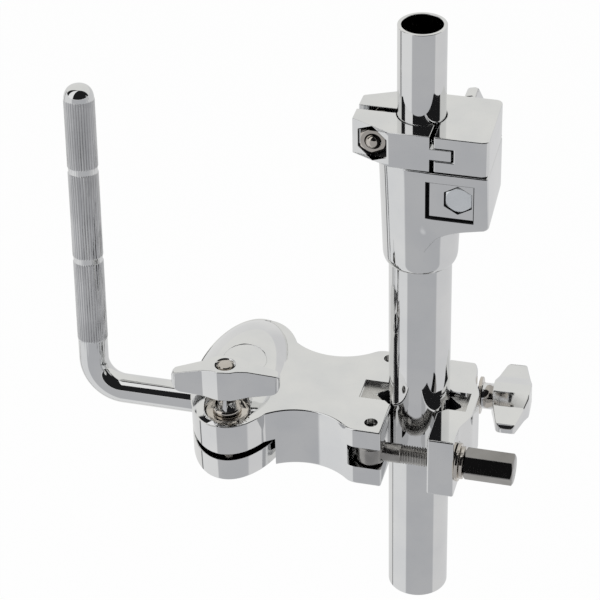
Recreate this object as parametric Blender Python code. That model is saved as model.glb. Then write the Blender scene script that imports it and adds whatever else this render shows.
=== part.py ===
"""Drum-stand tube joint with a memory lock, and a V-clamp arm that holds an L-rod in a ball socket.

Metres, +Z up. The origin is on the tube axis, at the lower tube's open bottom end.
+X runs from the ball socket to the clamp's nuts, and -Y is the front.
"""

import math

import bmesh
import bpy
from mathutils import Matrix, Vector

for old_object in list(bpy.data.objects):
    bpy.data.objects.remove(old_object, do_unlink=True)

# Fits
SEAT_GAP = 0.0003            # between pieces that sit on each other
RUN_GAP = 0.0003             # between pieces that slide or turn on each other

# Tubes
LOWER_TUBE_OD = 0.0254
LOWER_TUBE_WALL = 0.0016
LOWER_TUBE_LENGTH = 0.187
UPPER_TUBE_OD = 0.01905
UPPER_TUBE_WALL = 0.0015
UPPER_TUBE_ABOVE = 0.0387    # shown above the memory lock
UPPER_TUBE_BELOW = 0.120     # hidden below the casting's top
BUSHING_WALL = 0.0022

# Joint casting: a sleeve round the lower tube, with a clamping block on its right
SLEEVE_DEPTH = 0.0183        # how far the lower tube goes in
CASTING_HEIGHT = 0.0494
SLEEVE_FOOT_WALL = 0.0021
SLEEVE_TOP_WALL = 0.0042
SLEEVE_RIM = 0.0016          # how far the foot's edge is rounded in
SLEEVE_RIM_HEIGHT = 0.0045
BLOCK_REACH = 0.0284
BLOCK_BACK = 0.0012          # how far the block's flat front runs left of the tube axis
BLOCK_HALF_WIDTH = 0.0169
BLOCK_HEIGHT = 0.0233
BLOCK_SWEEP_DROP = 0.0142    # the underside sweeps down into the sleeve by this much
BLOCK_SWEEP_SAG = 0.0039
BLOCK_CORNER = 0.0025
WINDOW_WIDTH = 0.0192
WINDOW_HEIGHT = 0.0167
WINDOW_DEPTH = 0.0045
WINDOW_MARGIN = 0.0041       # below the block's top
WINDOW_PAST_BOLT = 0.0060    # from the joint bolt's axis to the window's right side
INSERT_GAP = 0.0018          # shadow gap at the insert's left and bottom edges
JOINT_BOLT_DIA = 0.006
JOINT_BOLT_X = 0.0183
JOINT_BOLT_BELOW_TOP = 0.0106
JOINT_HEAD_FLATS = 0.010
JOINT_HEAD_HEIGHT = 0.0026
JOINT_WING_TURN = 13.0       # degrees that the wing leans to the left of upright

# Memory lock
LOCK_GAP = 0.0006
LOCK_HEIGHT = 0.0154
LOCK_NOSE_X = 0.0253
LOCK_NOSE_HALF = 0.0092
LOCK_SHOULDER_X = 0.0090
LOCK_SLOT = 0.0032
GATE_END_X = 0.0066
HINGE_GAP = 0.0016
TONGUE_REACH = 0.0084
TONGUE_HEIGHT = 0.0048
TONGUE_DEPTH = 0.0078
HINGE_PIN_DIA = 0.003
HINGE_PIN_X = 0.0115
HINGE_PIN_INSET = 0.0047     # from the lock's front face
HINGE_PIN_COVER = 0.0025     # lock material left over the pin's top
LOCK_BOLT_DIA = 0.006
LOCK_BOLT_X = 0.0165
LOCK_NUT_FLATS = 0.010
LOCK_NUT_HEIGHT = 0.0034
LOCK_MOUTH_FLATS = 0.0126    # pocket in front of the nut's seat
LOCK_SEAT_DEPTH = 0.0008     # how deep the seat holds the nut
LOCK_SEAT_Y = 0.0085         # where the nut and the bolt's head sit, from the middle
LOCK_BOLT_SLACK = 0.0008     # hole in the gate and the body, round the bolt
LOCK_BOLT_END = 0.0018       # bolt end standing out of the nut
LOCK_HEAD_DIA = 0.0096
LOCK_HEAD_HEIGHT = 0.0030
LOCK_KEY_SQUARE = 0.0058
LOCK_KEY_LENGTH = 0.0070

# Washers and wing nuts
WASHER_THICK = 0.0014
JOINT_WASHER_DIA = 0.0150
WING_NUT_HEIGHT = 0.0190
SOCKET_WING_SPAN = 0.0224    # from the axis to a wing's tip
JOINT_WING_SPAN = 0.0224
REAR_WING_SPAN = 0.0204
REAR_NUT_HEIGHT = 0.0206
WING_HUB_DIA = 0.0112
WING_FOOT = 0.0044           # wing's lower edge above the hub's foot
WING_CAP = 0.0004            # hub above the wings
WING_TIP_DROP = 0.0045       # the upper edge falls by this much towards the tip
WING_TIP_LIFT = 0.0009       # the lower edge rises by this much
REAR_WING_TIP_LIFT = 0.0033
WING_ROOT_THICK = 0.0122
WING_TIP_THICK = 0.0046
WING_TIP_ROUND = 0.0034
STUD_SUNK = 0.0003           # bolt end below the wing nut's top

# V-clamp: an arm on the left of the lower tube and an outer jaw on its right
CLAMP_MID_Z = 0.0847
CLAMP_HEIGHT = 0.0280
CLAMP_HALF_WIDTH = 0.0286
ARM_END_X = 0.0100
ARM_WAIST_X = 0.0425
ARM_WAIST_HALF = 0.0203
ARM_WAIST_RADIUS = 0.0260
ARM_SHOULDER_RADIUS = 0.0080
POCKET_HALF = 0.0063
ARM_POCKET_DEPTH = 0.0022
JAW_POCKET_DEPTH = 0.0028
ARM_POCKET_X = 0.0243
JAW_INNER_X = 0.0093
JAW_REAR_INNER_X = 0.0072    # the rear end reaches further towards the arm
JAW_THICK = 0.0112
JAW_BULGE = 0.0036
JAW_BULGE_HALF = 0.0060
JAW_BULGE_EASE = 0.0130
JAW_REAR_RADIUS = 0.0160     # the outer face curves back towards the open slot
JAW_REAR_START = 0.0205
JAW_POCKET_WALL = 0.0032
FRONT_PIN_X = 0.0154
REAR_PIN_X = 0.0175
FRONT_PIN_INSET = 0.0064     # from the clamp's sides to the eyebolt pins
REAR_PIN_INSET = 0.0054
PIN_DIA = 0.0050
PIN_RECESS = 0.0030
EYEBOLT_DIA = 0.0080
EYE_DIA = 0.0124
EYE_HEIGHT = 0.0096
EYE_SLACK = 0.0006
EYE_SLOT_X = 0.0243
EYEBOLT_SLACK = 0.0006
EYEBOLT_IN_NUT = 0.0165      # thread length inside the nuts
CLAMP_WASHER_DIA = 0.0160
LOCK_WASHER_DIA = 0.0136
HEX_NUT_FLATS = 0.0118
HEX_NUT_LENGTH = 0.0204
REAR_WING_TURN = 84.0        # degrees that the rear nut's upper wing leans back
REAR_SWING = 2.3             # degrees that the tightened rear eyebolt stands back
REAR_HUB_DIA = 0.0112

# Oval ball socket at the arm's left end
HEAD_X = 0.0750
HEAD_HALF_X = 0.0210
HEAD_HALF_Y = 0.0393
HEAD_CROWN = 0.0080
CROWN_RIM = 0.0006           # flat left round the crown at the oval's left end and sides
CROWN_SHELF = 0.0055         # flat left between the crown and the arm
HEAD_RIM = 0.0143            # depth of the upper half at its rim
SOCKET_SLIT = 0.0028
SOCKET_JAW_LIFT = 0.0006     # the lower jaw's underside above the arm's
JAW_STEP_X = 0.0560
BALL_DIA = 0.0210
BALL_DROP = 0.0018           # ball's centre below the middle of the slit
BALL_HOLE_DIA = 0.0100
SWING_LIMIT = 12.0           # degrees that the rod can swing to either side
SOCKET_BOLT_Y = 0.0280
SOCKET_BOLT_DIA = 0.0060
SPOT_DIA = 0.0192
SPOT_DEPTH = 0.0007
SOCKET_WASHER_DIA = 0.0174
COLLAR_DIA = 0.0132
COLLAR_HEIGHT = 0.0036
BOLT_HEAD_DIA = 0.0115
BOLT_HEAD_HEIGHT = 0.0040
SCREW_IN_HEAD = 0.0090
SOCKET_WING_TURN = 9.0       # degrees that the wing's right end points back

# L-rod
ROD_DIA = 0.0127
ROD_TAIL = 0.0080
ROD_CORNER = 0.0681
ROD_BEND_RADIUS = 0.0138
ROD_BEND_ANGLE = 88.3
ROD_RISE = 0.1386
ROD_LEAN = 8.0               # degrees that the tall leg leans back
ROD_GROOVE_DEPTH = 0.0005
ROD_GROOVE_WIDTH = 0.0022
ROD_GROOVE_FIRST = 0.0373    # from the tip to the middle of each groove
ROD_GROOVE_SECOND = 0.0779

# Mesh fineness
ROUND_STEPS = 48
SMALL_STEPS = 24
BEND_STEPS = 8
ARC_STEPS = 8

# Places worked out from the sizes
lower_r = LOWER_TUBE_OD / 2
upper_r = UPPER_TUBE_OD / 2
bushing_r = upper_r + RUN_GAP + BUSHING_WALL
bushing_seat_r = bushing_r + SEAT_GAP
tube_seat_r = lower_r + SEAT_GAP
sleeve_foot_r = tube_seat_r + SLEEVE_FOOT_WALL
sleeve_top_r = bushing_seat_r + SLEEVE_TOP_WALL
sleeve_bottom = LOWER_TUBE_LENGTH - SLEEVE_DEPTH
casting_top = sleeve_bottom + CASTING_HEIGHT
shoulder_z = LOWER_TUBE_LENGTH + SEAT_GAP
block_front = -BLOCK_HALF_WIDTH
window_right = JOINT_BOLT_X + WINDOW_PAST_BOLT
window_left = window_right - WINDOW_WIDTH
window_top = casting_top - WINDOW_MARGIN
window_low = window_top - WINDOW_HEIGHT
window_floor = block_front + WINDOW_DEPTH
joint_bolt_z = casting_top - JOINT_BOLT_BELOW_TOP
joint_bolt_r = JOINT_BOLT_DIA / 2
lock_low = casting_top + LOCK_GAP
lock_top = lock_low + LOCK_HEIGHT
lock_mid = (lock_low + lock_top) / 2
hinge_y = block_front + HINGE_PIN_INSET
clamp_low = CLAMP_MID_Z - CLAMP_HEIGHT / 2
clamp_top = CLAMP_MID_Z + CLAMP_HEIGHT / 2
vee_apex = (lower_r + SEAT_GAP) * math.sqrt(2)
pin_y = {-1: FRONT_PIN_INSET - CLAMP_HALF_WIDTH, 1: CLAMP_HALF_WIDTH - REAR_PIN_INSET}
jaw_outer = JAW_INNER_X + JAW_THICK
eyebolt_r = EYEBOLT_DIA / 2
eye_r = EYE_DIA / 2
washer_x = jaw_outer + SEAT_GAP
lock_washer_x = washer_x + WASHER_THICK + SEAT_GAP
hex_nut_x = lock_washer_x + WASHER_THICK + SEAT_GAP
rear_nut_x = washer_x + WASHER_THICK + SEAT_GAP
slit_top = clamp_top - HEAD_RIM
slit_low = slit_top - SOCKET_SLIT
jaw_low = clamp_low + SOCKET_JAW_LIFT
ball_r = BALL_DIA / 2
ball_z = (slit_top + slit_low) / 2 - BALL_DROP
ball_point = Vector((-HEAD_X, 0.0, ball_z))
rod_r = ROD_DIA / 2
spot_floor = clamp_top - SPOT_DEPTH
collar_z = spot_floor + SEAT_GAP + WASHER_THICK + SEAT_GAP
socket_nut_z = collar_z + COLLAR_HEIGHT + SEAT_GAP
socket_stud_top = socket_nut_z + WING_NUT_HEIGHT - STUD_SUNK
PAST = 0.002                 # how far a cutter runs past the face it opens

# How outline points (u, v) and a depth w become a point, for a prism along each axis
PRISM_AXES = {
    "X": lambda u, v, w: (w, u, v),
    "Y": lambda u, v, w: (u, w, v),
    "Z": lambda u, v, w: (u, v, w),
}


def add_object(name, bm):
    bmesh.ops.recalc_face_normals(bm, faces=bm.faces)
    mesh = bpy.data.meshes.new(name)
    bm.to_mesh(mesh)
    bm.free()
    obj = bpy.data.objects.new(name, mesh)
    bpy.context.scene.collection.objects.link(obj)
    return obj


def prism(name, outline, low, high, axis="Z"):
    """A straight solid with a flat outline, between two depths along an axis."""
    place = PRISM_AXES[axis]
    bm = bmesh.new()
    near = [bm.verts.new(place(u, v, low)) for u, v in outline]
    far = [bm.verts.new(place(u, v, high)) for u, v in outline]
    bm.faces.new(near)
    bm.faces.new(far)
    for i in range(len(outline)):
        j = (i + 1) % len(outline)
        bm.faces.new((near[i], near[j], far[j], far[i]))
    return add_object(name, bm)


def box(name, low, high):
    outline = [(low[0], low[1]), (high[0], low[1]), (high[0], high[1]), (low[0], high[1])]
    return prism(name, outline, low[2], high[2])


def turned(name, profile, steps=ROUND_STEPS):
    """A solid turned about Z from a closed outline of (radius, height) points."""
    bm = bmesh.new()
    poles = [bm.verts.new((0, 0, z)) if r == 0 else None for r, z in profile]
    rings = []
    for step in range(steps):
        angle = math.tau * step / steps
        ring = []
        for (r, z), pole in zip(profile, poles):
            ring.append(pole or bm.verts.new((r * math.cos(angle), r * math.sin(angle), z)))
        rings.append(ring)
    for step in range(steps):
        here = rings[step]
        there = rings[(step + 1) % steps]
        for i in range(len(profile)):
            j = (i + 1) % len(profile)
            corners = []
            for vert in (here[i], here[j], there[j], there[i]):
                if vert not in corners:
                    corners.append(vert)
            if len(corners) > 2:
                bm.faces.new(corners)
    return add_object(name, bm)


def rod_shape(name, radius, low, high, steps=SMALL_STEPS):
    return turned(name, [(0, low), (radius, low), (radius, high), (0, high)], steps)


def ring_shape(name, inner, outer, low, high, steps=SMALL_STEPS):
    return turned(name, [(inner, low), (outer, low), (outer, high), (inner, high)], steps)


def hexagon(flats, first=0):
    """Corners of a hexagon, the first one at an angle in degrees."""
    corner = flats / math.sqrt(3)
    turns = [math.radians(first + 60 * i) for i in range(6)]
    return [(corner * math.cos(turn), corner * math.sin(turn)) for turn in turns]


def arc(centre, radius, start, end, steps=ARC_STEPS):
    """Points on a circle from one angle to another, in degrees."""
    turns = [math.radians(start + (end - start) * i / steps) for i in range(steps + 1)]
    return [(centre[0] + radius * math.cos(t), centre[1] + radius * math.sin(t)) for t in turns]


def move(obj, offset):
    obj.data.transform(Matrix.Translation(offset))
    return obj


def turn(obj, degrees, axis):
    obj.data.transform(Matrix.Rotation(math.radians(degrees), 4, axis))
    return obj


def along_x(obj):
    """Lay a piece made along Z so that it points along +X."""
    return turn(obj, 90, "Y")


def along_y(obj):
    """Lay a piece made along Z so that it points along +Y."""
    return turn(obj, -90, "X")


def combine(obj, tools, operation):
    for tool in tools:
        modifier = obj.modifiers.new("combine", "BOOLEAN")
        modifier.operation = operation
        modifier.solver = "EXACT"
        modifier.object = tool
    depsgraph = bpy.context.evaluated_depsgraph_get()
    mesh = bpy.data.meshes.new_from_object(obj.evaluated_get(depsgraph))
    obj.modifiers.clear()
    obj.data = mesh
    for tool in tools:
        bpy.data.objects.remove(tool, do_unlink=True)
    bm = bmesh.new()
    bm.from_mesh(mesh)
    bmesh.ops.remove_doubles(bm, verts=bm.verts, dist=2e-6)
    bmesh.ops.dissolve_degenerate(bm, edges=bm.edges, dist=2e-6)
    bm.to_mesh(mesh)
    bm.free()
    return obj


def cut(obj, *tools):
    return combine(obj, tools, "DIFFERENCE")


def fuse(obj, *tools):
    return combine(obj, tools, "UNION")


def keep_inside(obj, *tools):
    return combine(obj, tools, "INTERSECT")


def round_edges(obj, pick, radius, segments=3):
    """Round the edges that pick(first corner, second corner) chooses."""
    bm = bmesh.new()
    bm.from_mesh(obj.data)
    edges = [edge for edge in bm.edges if pick(edge.verts[0].co, edge.verts[1].co)]
    bmesh.ops.bevel(bm, geom=edges, offset=radius, segments=segments, affect="EDGES", profile=0.5)
    bm.to_mesh(obj.data)
    bm.free()
    return obj


# Colour, roughness and metallic value of each finish
FINISHES = {
    "chrome": ((0.78, 0.79, 0.80), 0.08, 1.0),
    "nickel": ((0.62, 0.57, 0.50), 0.18, 1.0),
    "zinc": ((0.66, 0.69, 0.72), 0.35, 1.0),
    "steel": ((0.45, 0.45, 0.46), 0.30, 1.0),
    "nylon": ((0.05, 0.05, 0.055), 0.50, 0.0),
}


def finish(obj, kind, origin=(0.0, 0.0, 0.0)):
    """Give a piece its material, smooth shading and its origin on its joint's axis."""
    colour, roughness, metallic = FINISHES[kind]
    material = bpy.data.materials.new(obj.name + "_" + kind)
    material.use_nodes = True
    shader = material.node_tree.nodes["Principled BSDF"]
    shader.inputs["Base Color"].default_value = (*colour, 1.0)
    shader.inputs["Roughness"].default_value = roughness
    shader.inputs["Metallic"].default_value = metallic
    obj.data.materials.clear()
    obj.data.materials.append(material)
    obj.data.shade_smooth()
    obj.data.set_sharp_from_angle(angle=math.radians(32))
    move(obj, -Vector(origin))
    obj.location = origin
    return obj


# Tubes
finish(ring_shape("lower_tube", lower_r - LOWER_TUBE_WALL, lower_r, 0.0, LOWER_TUBE_LENGTH, ROUND_STEPS),
       "chrome")
upper_low = casting_top - UPPER_TUBE_BELOW
upper_high = lock_top + UPPER_TUBE_ABOVE
finish(ring_shape("upper_tube", upper_r - UPPER_TUBE_WALL, upper_r, upper_low, upper_high, ROUND_STEPS),
       "chrome")
finish(ring_shape("tube_bushing", upper_r + RUN_GAP, bushing_r, shoulder_z + SEAT_GAP,
                  casting_top - SEAT_GAP, ROUND_STEPS), "nylon")


# Joint casting
def sweep_under_block():
    """Underside of the block, from its right end down into the sleeve."""
    start = Vector((BLOCK_REACH, casting_top - BLOCK_HEIGHT))
    end = Vector((-BLOCK_BACK, start.y - BLOCK_SWEEP_DROP))
    middle = (start + end) / 2 + Vector((0.0, BLOCK_SWEEP_SAG))
    points = []
    for i in range(ARC_STEPS + 1):
        t = i / ARC_STEPS
        point = start * (1 - t) ** 2 + middle * (2 * t * (1 - t)) + end * t ** 2
        points.append((point.x, point.y))
    return points


def make_joint_casting():
    casting = turned("joint_casting", [
        (0, sleeve_bottom),
        (sleeve_foot_r - SLEEVE_RIM, sleeve_bottom),
        (sleeve_foot_r - SLEEVE_RIM * 0.5, sleeve_bottom + SLEEVE_RIM_HEIGHT * 0.2),
        (sleeve_foot_r - SLEEVE_RIM * 0.15, sleeve_bottom + SLEEVE_RIM_HEIGHT * 0.55),
        (sleeve_foot_r, sleeve_bottom + SLEEVE_RIM_HEIGHT),
        (sleeve_top_r, casting_top - WINDOW_MARGIN),
        (sleeve_top_r, casting_top),
        (0, casting_top)])
    block = prism("block", [(-BLOCK_BACK, casting_top), (BLOCK_REACH, casting_top)] + sweep_under_block(),
                  -BLOCK_HALF_WIDTH, BLOCK_HALF_WIDTH, "Y")
    at_end = BLOCK_REACH - PAST
    round_edges(block, lambda a, b: a.x > at_end and b.x > at_end and abs(a.z - b.z) > PAST, BLOCK_CORNER)
    fuse(casting, block)
    tube_bore = rod_shape("cut", tube_seat_r, sleeve_bottom - PAST, shoulder_z, ROUND_STEPS)
    bushing_bore = rod_shape("cut", bushing_seat_r, shoulder_z - PAST, casting_top + PAST, ROUND_STEPS)
    window = box("cut", (window_left, block_front - PAST, window_low),
                 (window_right, window_floor, window_top))
    bolt_hole = along_y(rod_shape("cut", joint_bolt_r + RUN_GAP, window_floor - PAST,
                                  BLOCK_HALF_WIDTH + PAST))
    move(bolt_hole, (JOINT_BOLT_X, 0, joint_bolt_z))
    cut(casting, tube_bore, bushing_bore, window, bolt_hole)
    return finish(casting, "chrome")


def make_clamp_insert():
    insert = box("clamp_insert", (window_left + INSERT_GAP, block_front, window_low + INSERT_GAP),
                 (window_right - SEAT_GAP, window_floor - SEAT_GAP, window_top - SEAT_GAP))
    recess = prism("cut", hexagon(JOINT_HEAD_FLATS + 2 * SEAT_GAP, 30), block_front - PAST,
                   block_front + JOINT_HEAD_HEIGHT + SEAT_GAP, "Y")
    hole = along_y(rod_shape("cut", joint_bolt_r + RUN_GAP, block_front - PAST, window_floor + PAST))
    for tool in (recess, hole):
        move(tool, (JOINT_BOLT_X, 0, joint_bolt_z))
    return finish(cut(insert, recess, hole), "chrome")


joint_washer_y = BLOCK_HALF_WIDTH + SEAT_GAP
joint_nut_y = joint_washer_y + WASHER_THICK + SEAT_GAP


def make_joint_bolt():
    end = joint_nut_y + WING_NUT_HEIGHT - STUD_SUNK
    bolt = prism("joint_bolt", hexagon(JOINT_HEAD_FLATS, 30), block_front,
                 block_front + JOINT_HEAD_HEIGHT, "Y")
    shank = along_y(rod_shape("shank", joint_bolt_r, block_front + JOINT_HEAD_HEIGHT / 2, end))
    fuse(bolt, shank)
    return finish(move(bolt, (JOINT_BOLT_X, 0, joint_bolt_z)), "zinc")


def washer(name, hole_r, diameter):
    return ring_shape(name, hole_r + SEAT_GAP, diameter / 2, 0.0, WASHER_THICK)


def wing_nut(name, bolt_r, hub_dia, span, height, lift, bore_depth):
    """A wing nut along +Z with its foot at zero and its wings along X."""
    hub_r = hub_dia / 2
    top = height - WING_CAP
    shoulder = hub_r * 0.82
    nut = turned(name, [(0, 0), (hub_r, 0), (hub_r, height * 0.8), (shoulder, height),
                        (0, height)], SMALL_STEPS)
    root = hub_r * 1.15
    outline = [(-PAST / 2, WING_FOOT), (root, WING_FOOT)]
    tip = span - WING_TIP_ROUND
    outline += arc((tip, WING_FOOT + lift + WING_TIP_ROUND), WING_TIP_ROUND, -80, 0, 4)
    outline += arc((tip, top - WING_TIP_DROP - WING_TIP_ROUND), WING_TIP_ROUND, 0, 72, 4)
    outline += [(root, top), (-PAST / 2, top)]
    for side in (0, 180):
        wing = prism("wing", outline, -WING_ROOT_THICK / 2, WING_ROOT_THICK / 2, "Y")
        for vert in wing.data.vertices:
            share = vert.co.x / span
            vert.co.y *= 1 + share * (WING_TIP_THICK / WING_ROOT_THICK - 1)
        fuse(nut, turn(wing, side, "Z"))
    return cut(nut, rod_shape("cut", bolt_r + RUN_GAP, -PAST, bore_depth))


make_joint_casting()
make_clamp_insert()
make_joint_bolt()
joint_axis = Vector((JOINT_BOLT_X, 0, joint_bolt_z))
joint_washer = along_y(washer("joint_washer", joint_bolt_r, JOINT_WASHER_DIA))
finish(move(joint_washer, joint_axis + Vector((0, joint_washer_y, 0))), "nickel")
joint_nut = wing_nut("joint_wing_nut", joint_bolt_r, WING_HUB_DIA, JOINT_WING_SPAN, WING_NUT_HEIGHT,
                     WING_TIP_LIFT, WING_NUT_HEIGHT + PAST)
along_y(turn(joint_nut, -90 - JOINT_WING_TURN, "Z"))
finish(move(joint_nut, joint_axis + Vector((0, joint_nut_y, 0))), "chrome",
       joint_axis + Vector((0, joint_nut_y, 0)))


# Memory lock
def lock_blank(name):
    """The lock's full outline, bored for the upper tube, before it is split."""
    corner = BLOCK_CORNER
    outline = arc((BLOCK_REACH - corner, -BLOCK_HALF_WIDTH + corner), corner, -90, 0, 3)
    outline += arc((BLOCK_REACH - corner, BLOCK_HALF_WIDTH - corner), corner, 0, 90, 3)
    outline += [(-LOCK_SHOULDER_X, BLOCK_HALF_WIDTH), (-LOCK_NOSE_X, LOCK_NOSE_HALF),
                (-LOCK_NOSE_X, -LOCK_NOSE_HALF), (-LOCK_SHOULDER_X, -BLOCK_HALF_WIDTH)]
    blank = prism(name, outline, lock_low, lock_top)
    bore = rod_shape("cut", upper_r + RUN_GAP, lock_low - PAST, lock_top + PAST, ROUND_STEPS)
    return cut(blank, bore)


lock_axis_x = -LOCK_BOLT_X
slot_half = LOCK_SLOT / 2
body_face_x = GATE_END_X + HINGE_GAP
tongue_end = GATE_END_X + TONGUE_REACH
tongue_back = block_front + TONGUE_DEPTH
tongue_half = TONGUE_HEIGHT / 2
hinge_hole_r = HINGE_PIN_DIA / 2 + RUN_GAP
lock_hole_r = LOCK_BOLT_DIA / 2 + LOCK_BOLT_SLACK


def lock_bolt_tools(side):
    """Hole for the lock bolt, and the seat and pocket of its nut (front) or of its head (rear)."""
    front = -BLOCK_HALF_WIDTH - PAST
    tools = [along_y(rod_shape("cut", lock_hole_r, front, -front))]
    if side < 0:
        tools.append(prism("cut", hexagon(LOCK_NUT_FLATS + 2 * SEAT_GAP, 30), front, -LOCK_SEAT_Y, "Y"))
        tools.append(prism("cut", hexagon(LOCK_MOUTH_FLATS, 30), front, -LOCK_SEAT_Y - LOCK_SEAT_DEPTH, "Y"))
    else:
        tools.append(along_y(rod_shape("cut", LOCK_HEAD_DIA / 2 + LOCK_BOLT_SLACK, LOCK_SEAT_Y, -front)))
    return [move(tool, (lock_axis_x, 0, lock_mid)) for tool in tools]


def hinge_hole():
    hole = rod_shape("cut", hinge_hole_r, lock_low - PAST, lock_top - HINGE_PIN_COVER)
    return move(hole, (HINGE_PIN_X, hinge_y, 0))


def make_lock_body():
    body = lock_blank("lock_body")
    gate_space = box("cut", (-LOCK_NOSE_X - PAST, block_front - PAST, lock_low - PAST),
                     (body_face_x, -slot_half, lock_top + PAST))
    slot = box("cut", (-LOCK_NOSE_X - PAST, -slot_half - PAST, lock_low - PAST),
               (0.0, slot_half, lock_top + PAST))
    knuckle = box("cut", (GATE_END_X, block_front - PAST, lock_mid - tongue_half - RUN_GAP),
                  (tongue_end + HINGE_GAP / 2, tongue_back + HINGE_GAP / 2,
                   lock_mid + tongue_half + RUN_GAP))
    cut(body, gate_space, slot, knuckle, hinge_hole(), *lock_bolt_tools(1))
    return finish(body, "chrome")


def make_lock_gate():
    gate = lock_blank("lock_gate")
    keep_inside(gate, box("keep", (-LOCK_NOSE_X - PAST, block_front - PAST, lock_low - PAST),
                          (GATE_END_X, -slot_half, lock_top + PAST)))
    tongue = box("tongue", (GATE_END_X - PAST, block_front, lock_mid - tongue_half),
                 (tongue_end, tongue_back, lock_mid + tongue_half))
    round_edges(tongue, lambda a, b: a.x > GATE_END_X and b.x > GATE_END_X and a.y > hinge_y
                and b.y > hinge_y and abs(a.z - b.z) > PAST, TONGUE_HEIGHT / 2)
    fuse(gate, tongue)
    cut(gate, hinge_hole(), *lock_bolt_tools(-1))
    return finish(gate, "chrome", (HINGE_PIN_X, hinge_y, lock_mid))


def make_lock_bolt():
    """Round head with a square key drive behind, and a plain end in front."""
    seat = LOCK_SEAT_Y + SEAT_GAP
    front = -LOCK_SEAT_Y - SEAT_GAP - LOCK_NUT_HEIGHT - LOCK_BOLT_END
    head_r = LOCK_HEAD_DIA / 2
    bolt_r = LOCK_BOLT_DIA / 2
    bolt = turned("lock_bolt", [(0, front), (bolt_r, front), (bolt_r, seat), (head_r, seat),
                                (head_r, seat + LOCK_HEAD_HEIGHT), (0, seat + LOCK_HEAD_HEIGHT)],
                  SMALL_STEPS)
    half = LOCK_KEY_SQUARE / 2
    key = box("key", (-half, -half, seat + LOCK_HEAD_HEIGHT / 2),
              (half, half, seat + LOCK_HEAD_HEIGHT + LOCK_KEY_LENGTH))
    along_y(fuse(bolt, key))
    move(bolt, (lock_axis_x, 0, lock_mid))
    return finish(bolt, "nickel", (lock_axis_x, 0, lock_mid))


def make_lock_nut():
    high = -LOCK_SEAT_Y - SEAT_GAP
    nut = prism("lock_nut", hexagon(LOCK_NUT_FLATS, 30), high - LOCK_NUT_HEIGHT, high, "Y")
    hole = along_y(rod_shape("cut", LOCK_BOLT_DIA / 2 + LOCK_BOLT_SLACK / 2, high - LOCK_NUT_HEIGHT - PAST,
                             high + PAST))
    return finish(move(cut(nut, hole), (lock_axis_x, 0, lock_mid)), "nickel")


make_lock_body()
make_lock_gate()
hinge_pin = rod_shape("lock_hinge_pin", HINGE_PIN_DIA / 2, lock_low + SEAT_GAP,
                      lock_top - HINGE_PIN_COVER - SEAT_GAP)
finish(move(hinge_pin, (HINGE_PIN_X, hinge_y, 0)), "steel")
make_lock_bolt()
make_lock_nut()


# V-clamp arm
def arm_flank():
    """Half-width line of the arm, from its end face to where it runs into the oval head."""
    waist = Vector((-ARM_WAIST_X, ARM_WAIST_HALF + ARM_WAIST_RADIUS))
    rise = waist.y - (CLAMP_HALF_WIDTH - ARM_SHOULDER_RADIUS)
    span = ARM_WAIST_RADIUS + ARM_SHOULDER_RADIUS
    shoulder = Vector((waist.x + math.sqrt(span ** 2 - rise ** 2), waist.y - rise))
    lean = math.degrees(math.atan2(rise, shoulder.x - waist.x))
    head_side = -HEAD_X + HEAD_HALF_X * 2 / 3
    last = math.degrees(math.asin((head_side - waist.x) / ARM_WAIST_RADIUS))
    points = [(-ARM_END_X, CLAMP_HALF_WIDTH)]
    points += arc(shoulder, ARM_SHOULDER_RADIUS, 90, 180 - lean)
    points += arc(waist, ARM_WAIST_RADIUS, -lean, -90 + last)[1:]
    return points


def ellipse(centre_x, half_x, half_y, steps=ROUND_STEPS):
    turns = [math.tau * i / steps for i in range(steps)]
    return [(centre_x + half_x * math.cos(t), half_y * math.sin(t)) for t in turns]


def make_head():
    """Upper half of the oval socket, with its crowned top."""
    bm = bmesh.new()
    oval = ellipse(-HEAD_X, HEAD_HALF_X, HEAD_HALF_Y)
    lower = [bm.verts.new((x, y, slit_top)) for x, y in oval]
    bm.faces.new(lower)
    crown_half = HEAD_HALF_X - (CROWN_RIM + CROWN_SHELF) / 2
    crown_x = -HEAD_X - HEAD_HALF_X + CROWN_RIM + crown_half
    levels = [(oval, clamp_top)]
    for scale in (1.0, 0.95, 0.87, 0.75, 0.58, 0.36, 0.14):
        points = ellipse(crown_x, crown_half * scale, (HEAD_HALF_Y - CROWN_RIM) * scale)
        levels.append((points, clamp_top + HEAD_CROWN * (1 - scale ** 3)))
    for points, height in levels:
        upper = [bm.verts.new((x, y, height)) for x, y in points]
        for i in range(len(upper)):
            j = (i + 1) % len(upper)
            bm.faces.new((lower[i], lower[j], upper[j], upper[i]))
        lower = upper
    peak = bm.verts.new((crown_x, 0, clamp_top + HEAD_CROWN))
    for i in range(len(lower)):
        bm.faces.new((lower[i], lower[(i + 1) % len(lower)], peak))
    return add_object("head", bm)


def vee_cutter(side):
    """Ninety-degree notch that grips the tube, open towards the tube."""
    mouth = vee_apex + PAST
    outline = [(side * vee_apex, 0), (side * (vee_apex - mouth), mouth), (side * (vee_apex - mouth), -mouth)]
    return prism("cut", outline, clamp_low - PAST, clamp_top + PAST)


def pin_place(side):
    return Vector((-REAR_PIN_X if side > 0 else -FRONT_PIN_X, pin_y[side], 0))


def on_rear_axis(x):
    """Point on the rear eyebolt's axis, given by its x when the eyebolt points straight out."""
    pin = pin_place(1)
    lean = math.radians(REAR_SWING)
    reach = x - pin.x
    return Vector((pin.x + reach * math.cos(lean), pin.y + reach * math.sin(lean), CLAMP_MID_Z))


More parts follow.
